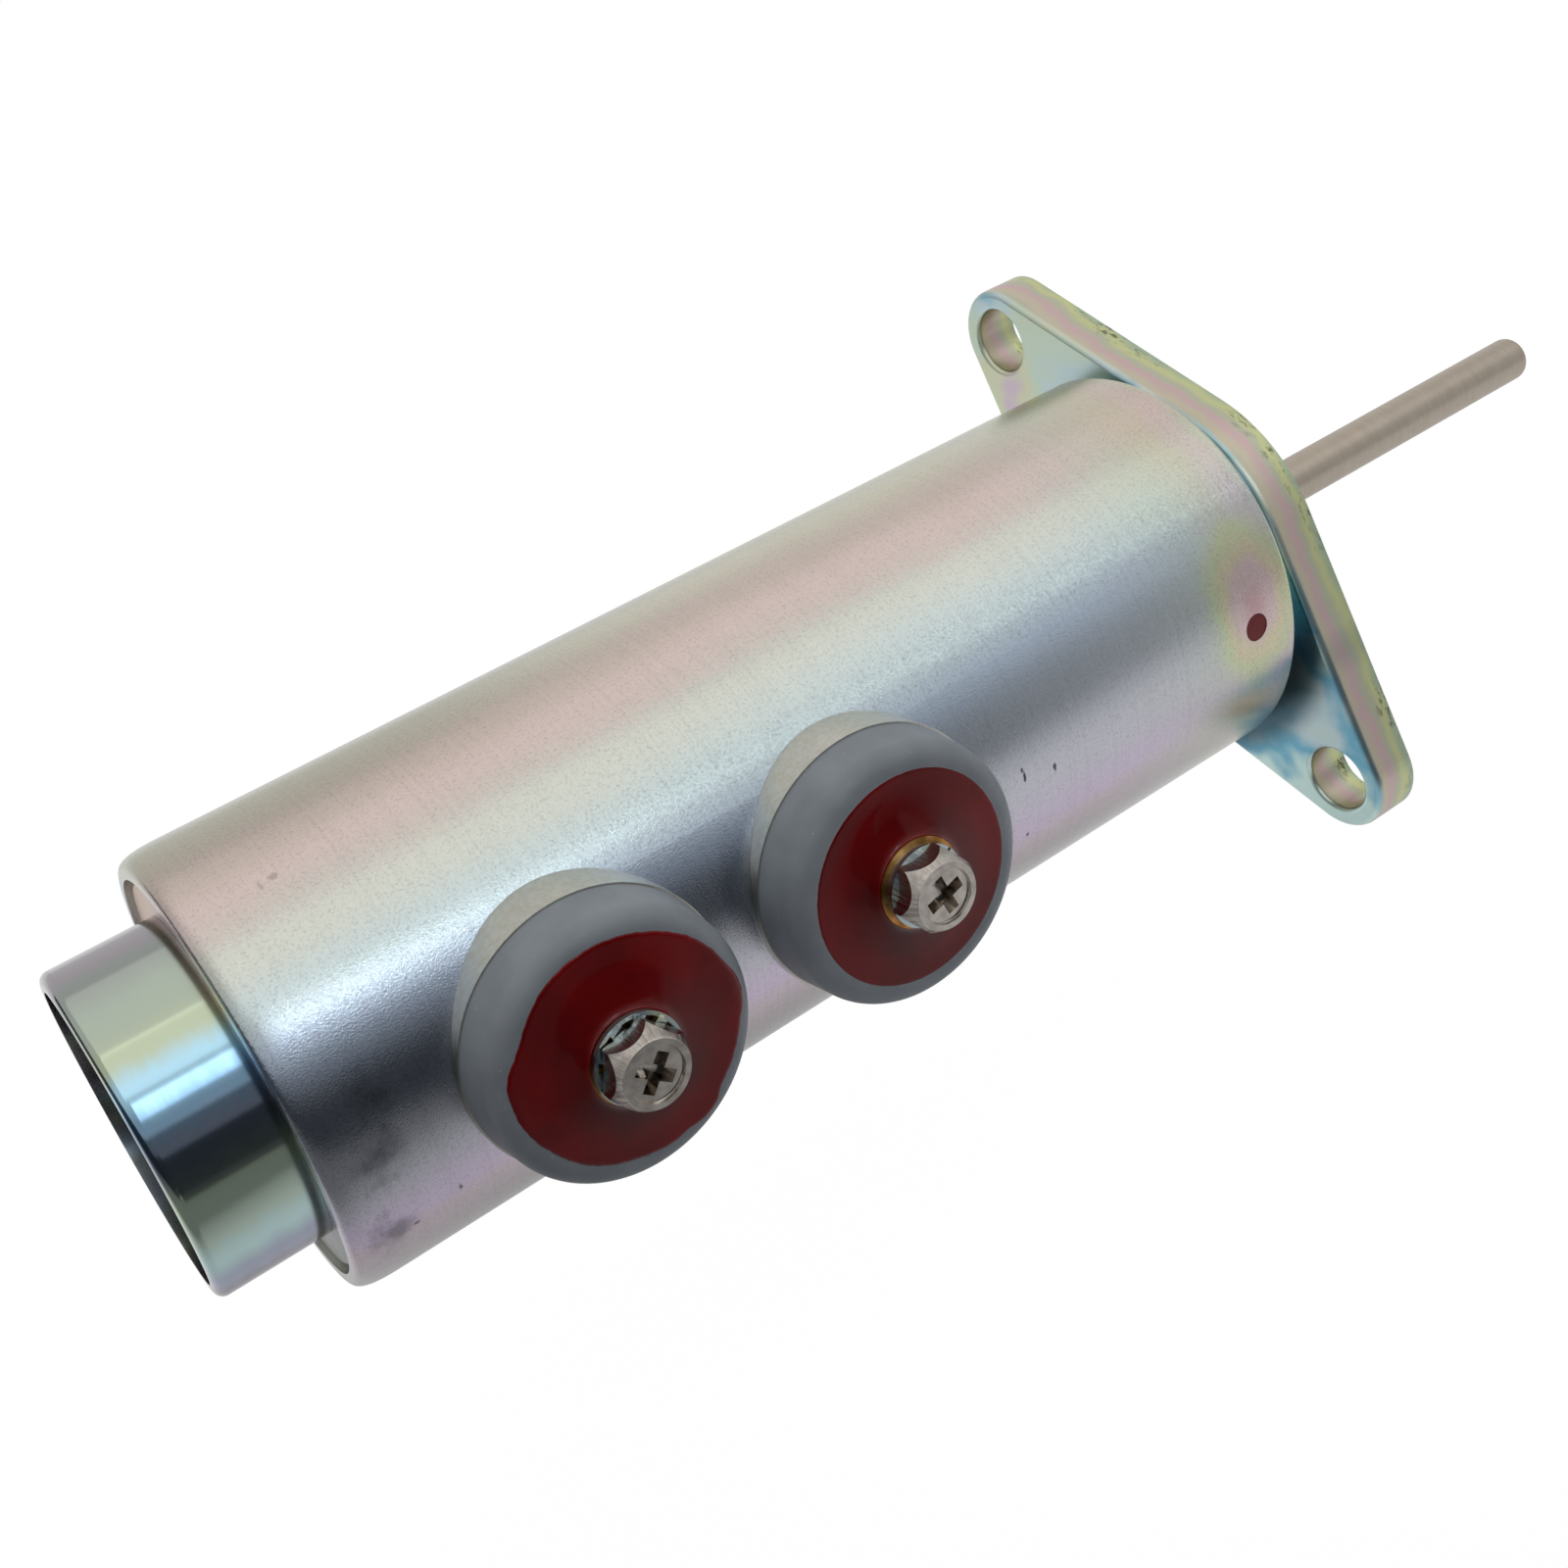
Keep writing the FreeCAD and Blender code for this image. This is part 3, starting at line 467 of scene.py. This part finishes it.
# Flange. Stamped steel plate, die-rolled on this side, zinc plated and chromated in the
# barrel, so its film is uneven: pale green, blue and lavender on the face.
zinc_flange, tree, shader, place = start_material(
    "zinc_chromate_on_stamped_steel", {"Metallic": 1.0, "Roughness": 0.36})
patches = add(tree, "ShaderNodeMapping", None, {"Scale": blotch(22, 15, 15)}, {"Vector": place})
patches = add(tree, "ShaderNodeTexNoise", None, {"Scale": 1.0, "Detail": 3.0},
              {"Vector": patches.outputs[0]})
parts = add(tree, "ShaderNodeSeparateXYZ", None, None, {0: place})
low = add(tree, "ShaderNodeMath", {"operation": "MINIMUM"}, {1: 0.0}, {0: parts.outputs["Z"]})
patches = add(tree, "ShaderNodeMath", {"operation": "MULTIPLY_ADD"}, {1: 9.0},
              {0: low.outputs[0], 2: patches.outputs[0]})
face_film = add(tree, "ShaderNodeValToRGB", None, None, {0: patches.outputs[0]}, [
    (0.22, "d8f4ee"), (0.32, "7fbed6"), (0.42, "cbe0e3"), (0.52, "d0e2d0"), (0.62, "dbdfc0"),
    (0.74, "dac9d6")])
# Across its 6 mm the edge goes from grey-green by the die roll over mauve to sage.
across = add(tree, "ShaderNodeMapping", None, {"Scale": blotch(9, 7, 7)}, {"Vector": place})
across = add(tree, "ShaderNodeTexNoise", None, {"Scale": 1.0}, {"Vector": across.outputs[0]})
across = add(tree, "ShaderNodeMath", {"operation": "MULTIPLY_ADD"}, {1: 0.004},
             {0: across.outputs[0], 2: parts.outputs["X"]})
across = add(tree, "ShaderNodeMapRange", None, {"From Min": -0.0045, "From Max": 0.0022},
             {"Value": across.outputs[0]})
edge_film = add(tree, "ShaderNodeValToRGB", None, None, {0: across.outputs[0]}, [
    (0.0, "b6baa6"), (0.25, "c6bda9"), (0.45, "c9b0b0"), (0.62, "b9bba6"), (0.78, "c6ca98"),
    (1.0, "a9baa2")])
facing = add(tree, "ShaderNodeNewGeometry")
facing = add(tree, "ShaderNodeSeparateXYZ", None, None, {0: facing.outputs["Normal"]})
flat = add(tree, "ShaderNodeMath", {"operation": "ABSOLUTE"}, None, {0: facing.outputs["X"]})
base_colour = add(tree, "ShaderNodeMix", {"data_type": "RGBA"}, None,
           {0: flat.outputs[0], FIRST: edge_film.outputs[0], SECOND: face_film.outputs[0]})
# In the corner between housing and lower lobe the film is painted a dark teal, as shade.
from_axis = add(tree, "ShaderNodeVectorMath", {"operation": "MULTIPLY"}, {1: (0.0, 1.0, 1.0)},
                {0: place})
from_axis = add(tree, "ShaderNodeVectorMath", {"operation": "LENGTH"}, None,
                {0: from_axis.outputs[0]})
corner_shade = add(tree, "ShaderNodeMapRange", {"interpolation_type": "SMOOTHSTEP"},
             {"From Min": 0.0295, "From Max": 0.0255, "To Max": 0.9},
             {"Value": from_axis.outputs["Value"]})
lower = add(tree, "ShaderNodeMapRange", None, {"From Min": -0.006, "From Max": -0.014},
            {"Value": parts.outputs["Z"]})
corner_shade = add(tree, "ShaderNodeMath", {"operation": "MULTIPLY"}, None,
             {0: corner_shade.outputs[0], 1: lower.outputs[0]})
base_colour = add(tree, "ShaderNodeMix", {"data_type": "RGBA"}, {SECOND: colour("48626f")},
           {0: corner_shade.outputs[0], FIRST: base_colour.outputs[MIXED]})
# The punch broke through near the outer face and tore notches in the edge there, in runs with
# clean edge between; their shade is painted as dark flecks.
notch_shade = add(tree, "ShaderNodeMapping", None, {"Scale": blotch(0.7, 1.8, 1.8)}, {"Vector": place})
notch_shade = add(tree, "ShaderNodeTexNoise", None, {"Scale": 1.0, "Detail": 3.0, "Roughness": 0.7},
             {"Vector": notch_shade.outputs[0]})
notch_shade = add(tree, "ShaderNodeMapRange", None, {"From Min": 0.53, "From Max": 0.62},
             {"Value": notch_shade.outputs[0]})
outer = add(tree, "ShaderNodeMapRange", {"interpolation_type": "SMOOTHSTEP"},
            {"From Min": -0.0026, "From Max": -0.0008}, {"Value": parts.outputs["X"]})
runs = add(tree, "ShaderNodeMapping", None, {"Scale": blotch(20, 8, 8)}, {"Vector": place})
runs = add(tree, "ShaderNodeTexNoise", None, {"Scale": 1.0}, {"Vector": runs.outputs[0]})
runs = add(tree, "ShaderNodeMapRange", None, {"From Min": 0.46, "From Max": 0.60},
           {"Value": runs.outputs[0]})
side = add(tree, "ShaderNodeMapRange", None, {"From Min": 0.5, "From Max": 0.2, "To Max": 0.8},
           {"Value": flat.outputs[0]})
for limit in (outer, runs, side):
    notch_shade = add(tree, "ShaderNodeMath", {"operation": "MULTIPLY"}, None,
                 {0: notch_shade.outputs[0], 1: limit.outputs[0]})
base_colour = add(tree, "ShaderNodeMix", {"data_type": "RGBA"}, {SECOND: colour("3a4034")},
           {0: notch_shade.outputs[0], FIRST: base_colour.outputs[MIXED]})
tree.links.new(base_colour.outputs[MIXED], shader.inputs["Base Color"])
grain = add(tree, "ShaderNodeMapping", None, {"Scale": blotch(0.9, 0.9, 0.9)}, {"Vector": place})
grain = add(tree, "ShaderNodeTexNoise", None, {"Scale": 1.0, "Detail": 3.0},
            {"Vector": grain.outputs[0]})
bump = add(tree, "ShaderNodeBump", None, {"Strength": 0.35, "Distance": 0.00003},
           {"Height": grain.outputs[0]})
tree.links.new(bump.outputs[0], shader.inputs["Normal"])
dress("mounting_flange", zinc_flange)


# Pole and collar. Bright chromate over fine-turned steel; the collar is the shiniest
# piece, with a sharp white line and a nearly black band beside it.
def lathe_bump(tree, place, shader, step_mm, depth_um, strength):
    """Fine rings round the X axis, step_mm apart, as the lathe leaves them."""
    rings = add(tree, "ShaderNodeMapping", None, {"Scale": blotch(step_mm, 60, 60)},
                {"Vector": place})
    rings = add(tree, "ShaderNodeTexNoise", None, {"Scale": 1.0, "Roughness": 0.6},
                {"Vector": rings.outputs[0]})
    bump = add(tree, "ShaderNodeBump", None,
               {"Strength": strength, "Distance": depth_um * 1e-6}, {"Height": rings.outputs[0]})
    tree.links.new(bump.outputs[0], shader.inputs["Normal"])


zinc_collar, tree, shader, place = start_material(
    "bright_chromate_on_fine_turned_steel", {"Metallic": 1.0, "Roughness": 0.13})
# Brushed bands a few millimetres wide, each with its tints shifted.
bands = add(tree, "ShaderNodeMapping", None, {"Scale": blotch(2.0, 9, 9)}, {"Vector": place})
bands = add(tree, "ShaderNodeTexNoise", None, {"Scale": 1.0, "Detail": 3.0, "Roughness": 0.6},
            {"Vector": bands.outputs[0]})
bands = add(tree, "ShaderNodeMath", {"operation": "MULTIPLY_ADD"}, {1: 0.02},
            {0: bands.outputs[0], 2: round_the_axis(tree, place)})
bands = add(tree, "ShaderNodeMath", {"operation": "SUBTRACT"}, {1: 0.01}, {0: bands.outputs[0]})
# Its tints round the axis also hold painted light and shade: darker beside the highlight and towards
# the underside, lighter on the side facing the terminals.
base_colour = add(tree, "ShaderNodeValToRGB", None, None, {0: bands.outputs[0]}, [
    (at_angle(350), "b4b2b4"), (at_angle(310), "a9b4c0"), (at_angle(275), "b4bcac"),
    (at_angle(248), "a8a2a6"), (at_angle(226), "85838c"), (at_angle(213), "b6bccf"),
    (at_angle(200), "c4e0de"), (at_angle(188), "c6d8c8"), (at_angle(176), "cadcc2"),
    (at_angle(160), "98a4b2"), (at_angle(149), "7d9eb7"), (at_angle(138), "b2dcf0"),
    (at_angle(129), "bac4aa"), (at_angle(115), "b4c0b2"), (at_angle(98), "a8afa9"),
    (at_angle(86), "b2acb2"), (at_angle(50), "a8b0ae"), (at_angle(10), "b4b2b4")])
tree.links.new(base_colour.outputs[0], shader.inputs["Base Color"])
lathe_sheen(tree, shader, 0.4)
lathe_bump(tree, place, shader, 0.3, 4, 0.35)
for node in ("front_pole", "rear_collar"):
    dress(node, zinc_collar)

# End plate. The film pools in the corner between lip and collar: peach, pink and lilac.
# The stop washer in the collar's mouth is plated with it.
zinc_plate, tree, shader, place = start_material(
    "pooled_chromate_on_steel", {"Metallic": 1.0, "Roughness": 0.3})
patches = add(tree, "ShaderNodeMapping", None, {"Scale": blotch(8, 9, 9)}, {"Vector": place})
patches = add(tree, "ShaderNodeTexNoise", None, {"Scale": 1.0}, {"Vector": patches.outputs[0]})
patches = add(tree, "ShaderNodeMath", {"operation": "MULTIPLY_ADD"}, {1: 0.2},
              {0: patches.outputs[0], 2: round_the_axis(tree, place)})
base_colour = add(tree, "ShaderNodeValToRGB", None, None, {0: patches.outputs[0]}, [
    (0.14, "c9b09c"), (0.28, "b3a5a9"), (0.48, "7a857e"), (0.58, "9a9a98"), (0.68, "bfa9ae"),
    (0.80, "cfb4b6"), (0.94, "d2b39c"), (1.0, "c9b09c")])
tree.links.new(base_colour.outputs[0], shader.inputs["Base Color"])
lathe_bump(tree, place, shader, 0.4, 8, 0.4)
for node in ("rear_end_plate", "stop_washer"):
    dress(node, zinc_plate)

# Terminal bosses. Steel rings saddled on the housing and plated with it, machined flat for
# the insulators: the cutter's fine marks dull their grey.
zinc_boss, tree, shader, place = start_material(
    "zinc_chromate_on_machined_steel", {"Metallic": 1.0, "Roughness": 0.3})
marks = add(tree, "ShaderNodeMapping", None, {"Scale": blotch(0.5, 0.5, 30)}, {"Vector": place})
marks = add(tree, "ShaderNodeTexNoise", None, {"Scale": 1.0}, {"Vector": marks.outputs[0]})
base_colour = add(tree, "ShaderNodeValToRGB", None, None, {0: marks.outputs[0]},
           [(0.3, "c3c0b4"), (0.7, "cdccc6")])
tree.links.new(base_colour.outputs[0], shader.inputs["Base Color"])
bump = add(tree, "ShaderNodeBump", None, {"Strength": 0.4, "Distance": 0.00002},
           {"Height": marks.outputs[0]})
tree.links.new(bump.outputs[0], shader.inputs["Normal"])
for node in ("terminal_boss_1", "terminal_boss_2"):
    dress(node, zinc_boss)

# Insulators. Grey phenolic mouldings, semi-matt, with the mould's fine orange peel and a
# few light specks of filler.
phenolic, tree, shader, place = start_material(
    "moulded_grey_phenolic", {"Roughness": 0.44, "Specular IOR Level": 0.36})
tone = add(tree, "ShaderNodeMapping", None, {"Scale": blotch(5, 5, 5)}, {"Vector": place})
tone = add(tree, "ShaderNodeTexNoise", None, {"Scale": 1.0, "Detail": 3.0},
           {"Vector": tone.outputs[0]})
grey = add(tree, "ShaderNodeValToRGB", None, None, {0: tone.outputs[0]},
           [(0.3, "797f85"), (0.7, "848a8f")])
specks = add(tree, "ShaderNodeMapping", None, {"Scale": blotch(0.45, 0.45, 0.45)}, {"Vector": place})
specks = add(tree, "ShaderNodeTexNoise", None, {"Scale": 1.0, "Detail": 1.0},
             {"Vector": specks.outputs[0]})
specks = add(tree, "ShaderNodeMapRange", None, {"From Min": 0.74, "From Max": 0.80, "To Max": 0.5},
             {"Value": specks.outputs[0]})
grey = add(tree, "ShaderNodeMix", {"data_type": "RGBA"}, {SECOND: colour("a9adb2")},
           {0: specks.outputs[0], FIRST: grey.outputs[0]})
tree.links.new(grey.outputs[MIXED], shader.inputs["Base Color"])
peel = add(tree, "ShaderNodeMapping", None, {"Scale": blotch(0.5, 0.5, 0.5)}, {"Vector": place})
peel = add(tree, "ShaderNodeTexNoise", None, {"Scale": 1.0}, {"Vector": peel.outputs[0]})
bump = add(tree, "ShaderNodeBump", None, {"Strength": 0.3, "Distance": 0.00003},
           {"Height": peel.outputs[0]})
tree.links.new(bump.outputs[0], shader.inputs["Normal"])
for node in ("insulator_1", "insulator_2"):
    dress(node, phenolic)


# Pours. Red compound was poured into each insulator's cup. It crept up the insert, and
# at the rear terminal it ran over the cup's rim and set in an uneven edge.
def pour(name, node, body, terminal_mm, rim, ragged, front, skin):
    """rim is a list of (degrees, mm) round the edge, ragged its small unevenness, front the
    insulator's face and skin the pour's thickness at its edge, all in mm."""
    # The brass, the cup round it and the insulator's rounded shoulder.
    brass_r = 4.92
    cup_r = 11.53
    cup_depth = 2.49
    shoulder_r = 12.05
    shoulder_round = 2.2
    # How the compound creeps up the brass, dishes beyond it and ends in a round lip.
    creep = 0.50
    creep_reach = 0.48
    bowl = 0.66
    bowl_reach = 4.6
    bowl_end = 5.5
    lip = 0.45
    # How finely its skin is divided.
    turns = 240
    top_rows = 26
    lip_rows = 7
    rim = sorted(rim)
    count = len(rim)

    def edge_at(degrees):
        """A smooth closed curve through the rim's points."""
        after = next((i for i, (angle, r) in enumerate(rim) if angle > degrees), 0)
        around = [rim[(after + k) % count] for k in (-2, -1, 0, 1)]
        start = around[1][0]
        gap = (around[2][0] - start) % 360
        t = ((degrees - start) % 360) / gap
        r0, r1, r2, r3 = [r for angle, r in around]
        r = 0.5 * (2 * r1 + (r2 - r0) * t + (2 * r0 - 5 * r1 + 4 * r2 - r3) * t ** 2
                   + (3 * r1 - r0 - 3 * r2 + r3) * t ** 3)
        ripple = ragged * sum(math.sin(math.radians(waves * degrees) + waves) / 3
                              for waves in (23, 41, 67))
        return max(r + ripple, cup_r + 0.03)

    def under(r):
        """The height of the insulator's face and rounded shoulder."""
        past = max(0.0, r - shoulder_r)
        return front - shoulder_round + math.sqrt(shoulder_round ** 2 - past ** 2) + 0.004

    columns = []
    for step in range(turns):
        degrees = -180 + 360 * step / turns
        edge = edge_at(degrees)
        inside = edge - lip
        radii = [brass_r + (inside - brass_r) * (i / top_rows) ** 1.5 for i in range(top_rows)]
        radii += [edge - lip * (1 - math.sin(math.pi / 2 * i / lip_rows)) for i in range(lip_rows + 1)]
        column = []
        for r in radii:
            from_edge = min(1.0, (edge - r) / lip)
            round_off = math.sqrt(max(0.0, 1 - (1 - from_edge) ** 2))
            fade = min(1.0, max(0.0, (cup_r - r) / bowl_end))
            fade = fade * fade * (3 - 2 * fade)
            height = under(r) + skin * round_off
            height += creep * math.exp(-(r - brass_r) / creep_reach)
            height += bowl * math.exp(-(r - brass_r) / bowl_reach) * fade
            column.append((r, height))
        column += [(cup_r, front + 0.003), (cup_r, front - cup_depth), (brass_r, front - cup_depth)]
        columns.append((math.radians(degrees), column))
    form = bmesh.new()
    rings = [[form.verts.new(((terminal_mm + r * math.cos(a)) / 1000, -h / 1000,
                              r * math.sin(a) / 1000)) for r, h in column] for a, column in columns]
    rows = len(rings[0])
    for i in range(turns):
        here = rings[i]
        there = rings[(i + 1) % turns]
        for j in range(rows):
            k = (j + 1) % rows
            form.faces.new((here[j], here[k], there[k], there[j]))
    bmesh.ops.recalc_face_normals(form, faces=form.faces)
    for face in form.faces:
        face.smooth = True
    mesh = bpy.data.meshes.new(name)
    form.to_mesh(mesh)
    form.free()
    mesh.materials.append(red_compound)
    piece = bpy.data.objects.new(name, mesh)
    bpy.context.collection.objects.link(piece)
    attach(piece, body)
    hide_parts(node)


insulator_front = -1000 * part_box("insulator_1")[0][1]
pour("red_pour_1", "potting_1", "solenoid", terminals_mm[0],
     [(-176, 12.2), (-165, 11.9), (-150, 11.6), (-128, 11.6), (-103, 11.6), (-85, 11.95),
      (-74, 12.0), (-66, 12.5), (-58, 12.6), (-50, 12.0), (-35, 12.1), (-18, 12.3), (-8, 12.9),
      (2, 13.0), (14, 12.5), (36, 12.25), (60, 12.0), (80, 12.1), (96, 12.25), (117, 12.3),
      (140, 11.9), (150, 12.0), (158, 12.5), (166, 12.6), (174, 12.4)],
     0.05, insulator_front, 0.16)
pour("red_pour_2", "potting_2", "solenoid", terminals_mm[1],
     [(-150, 11.6), (-90, 11.58), (-30, 11.6), (40, 11.62), (100, 11.6), (160, 11.65)],
     0.02, insulator_front, 0.05)


# Threaded inserts. Turned brass, its rim dull yellow under the red. The plunger's sleeve
# and the pole's shim are brass too.
def cloud_tint(tree, shader, place, size_mm, stops):
    """Tint the metal in soft clouds, size_mm wide along x, y and z."""
    tone = add(tree, "ShaderNodeMapping", None, {"Scale": blotch(*size_mm)}, {"Vector": place})
    tone = add(tree, "ShaderNodeTexNoise", None, {"Scale": 1.0, "Detail": 3.0},
               {"Vector": tone.outputs[0]})
    tone = add(tree, "ShaderNodeValToRGB", None, None, {0: tone.outputs[0]}, stops)
    tree.links.new(tone.outputs[0], shader.inputs["Base Color"])


brass, tree, shader, place = start_material("turned_brass", {"Metallic": 1.0, "Roughness": 0.3})
cloud_tint(tree, shader, place, (1.5, 1.5, 1.5), [(0.3, "9c6a36"), (0.7, "cc9458")])
for node in ("terminal_insert_1", "terminal_insert_2", "guide_sleeve", "pole_shim"):
    dress(node, brass)

# Lock washers. Spring steel with bright blue chromate, a cool and sharp mirror, under
# each screw's head.
blue_zinc, tree, shader, place = start_material(
    "blue_chromate_on_spring_steel", {"Metallic": 1.0, "Roughness": 0.2})
cloud_tint(tree, shader, place, (2, 2, 2), [(0.3, "93a9bd"), (0.5, "b6c7cb"), (0.7, "c3c8b4")])
for node in ("tooth_washer", "spring_washer"):
    dress(node, blue_zinc)

# Terminal screws. Cold-headed steel, nickel plated: warm silver, with the fine radial
# streaks that the header's die drew down the cone.
for node, x_mm in zip(("terminal_screw_1", "terminal_screw_2"), terminals_mm):
    nickel, tree, shader, place = start_material(
        "nickel_on_cold_headed_steel_" + node[-1], {"Metallic": 1.0, "Roughness": 0.13})
    cloud_tint(tree, shader, place, (1.2, 1.2, 1.2), [(0.3, "aaa39b"), (0.7, "c4beb6")])
    from_axis = add(tree, "ShaderNodeVectorMath", {"operation": "SUBTRACT"},
                    {1: (x_mm / 1000, 0.0, 0.0)}, {0: place})
    parts = add(tree, "ShaderNodeSeparateXYZ", None, None, {0: from_axis.outputs[0]})
    turned_by = add(tree, "ShaderNodeMath", {"operation": "ARCTAN2"}, None,
                    {0: parts.outputs["Z"], 1: parts.outputs["X"]})
    # A streak is 0.08 mm wide, which is 1 degree on the cone.
    streak_at = add(tree, "ShaderNodeMath", {"operation": "MULTIPLY"}, {1: 52.0},
                    {0: turned_by.outputs[0]})
    streak = add(tree, "ShaderNodeTexNoise", {"noise_dimensions": "1D"},
                 {"Scale": 1.0, "Detail": 1.0}, {"W": streak_at.outputs[0]})
    radius = add(tree, "ShaderNodeVectorMath", {"operation": "MULTIPLY"}, {1: (1.0, 0.0, 1.0)},
                 {0: from_axis.outputs[0]})
    radius = add(tree, "ShaderNodeVectorMath", {"operation": "LENGTH"}, None,
                 {0: radius.outputs[0]})
    on_cone = add(tree, "ShaderNodeMapRange", None, {"From Min": 0.0036, "From Max": 0.0037},
                  {"Value": radius.outputs["Value"]})
    streak = add(tree, "ShaderNodeMath", {"operation": "MULTIPLY"}, None,
                 {0: streak.outputs[0], 1: on_cone.outputs[0]})
    bump = add(tree, "ShaderNodeBump", None, {"Strength": 1.0, "Distance": 0.00006},
               {"Height": streak.outputs[0]})
    tree.links.new(bump.outputs[0], shader.inputs["Normal"])
    dress(node, nickel)

# Push rod and plunger. Ground steel: the rod is satin and faintly brown, the plunger
# nickel plated.
satin_rod, tree, shader, place = start_material(
    "satin_ground_steel", {"Metallic": 1.0, "Roughness": 0.36})
cloud_tint(tree, shader, place, (0.8, 3, 3), [(0.3, "b2a799"), (0.7, "b8ad9f")])
lathe_sheen(tree, shader, 0.5)
lathe_bump(tree, place, shader, 0.25, 3, 0.2)
dress("push_rod", satin_rod)
ground_nickel, tree, shader, place = start_material(
    "nickel_on_ground_steel", {"Metallic": 1.0, "Roughness": 0.22})
cloud_tint(tree, shader, place, (0.8, 3, 3), [(0.3, "b0aeaa"), (0.7, "bfbdb8")])
dress("plunger", ground_nickel)

# The pieces inside: bush, ring, spring, rubbers, coil and leads, each with its material,
# its darker and lighter tone, and how metallic and how rough it is.
inner = {
    "rod_bush": ("oiled_sintered_bronze", "8a6a40", "a07c4c", 1.0, 0.45),
    "retaining_ring": ("oiled_spring_steel", "3a3a3c", "4c4c4e", 1.0, 0.35),
    "return_spring": ("phosphated_spring_wire", "4a4a4c", "5c5c5e", 1.0, 0.4),
    "rod_wiper": ("moulded_black_rubber", "131313", "1c1c1c", 0.0, 0.6),
    "buffer_ring": ("pressed_black_rubber", "121213", "1d1d1d", 0.0, 0.65),
    "coil_bobbin": ("glass_filled_nylon", "d8d2c2", "e2ddd0", 0.0, 0.5),
    "pull_in_winding": ("enamelled_copper_wire", "8f4a22", "b0653a", 1.0, 0.3),
    "hold_in_winding": ("enamelled_fine_copper_wire", "8a4520", "a85e34", 1.0, 0.3),
    "coil_wrap": ("adhesive_film_tape", "b8a23c", "c9b24a", 0.0, 0.35),
    "coil_lead_1": ("tinned_copper_wire", "b8b8b4", "cacac6", 1.0, 0.3),
    "coil_lead_2": ("tinned_copper_lead", "b8b8b4", "cacac6", 1.0, 0.3),
}
for node, (name, dark, light, metal, rough) in inner.items():
    material, tree, shader, place = start_material(name, {"Metallic": metal, "Roughness": rough})
    cloud_tint(tree, shader, place, (1.5, 1.5, 1.5), [(0.3, dark), (0.7, light)])
    grain = add(tree, "ShaderNodeMapping", None, {"Scale": blotch(0.4, 0.4, 0.4)}, {"Vector": place})
    grain = add(tree, "ShaderNodeTexNoise", None, {"Scale": 1.0}, {"Vector": grain.outputs[0]})
    bump = add(tree, "ShaderNodeBump", None, {"Strength": 0.3, "Distance": 0.00003},
               {"Height": grain.outputs[0]})
    tree.links.new(bump.outputs[0], shader.inputs["Normal"])
    dress(node, material)

# The spring sits between the plunger's pocket and the bush and shortens by the stroke;
# here it only gets a mesh of its own.
spring = frame["nodes"]["return_spring"]
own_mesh(spring)
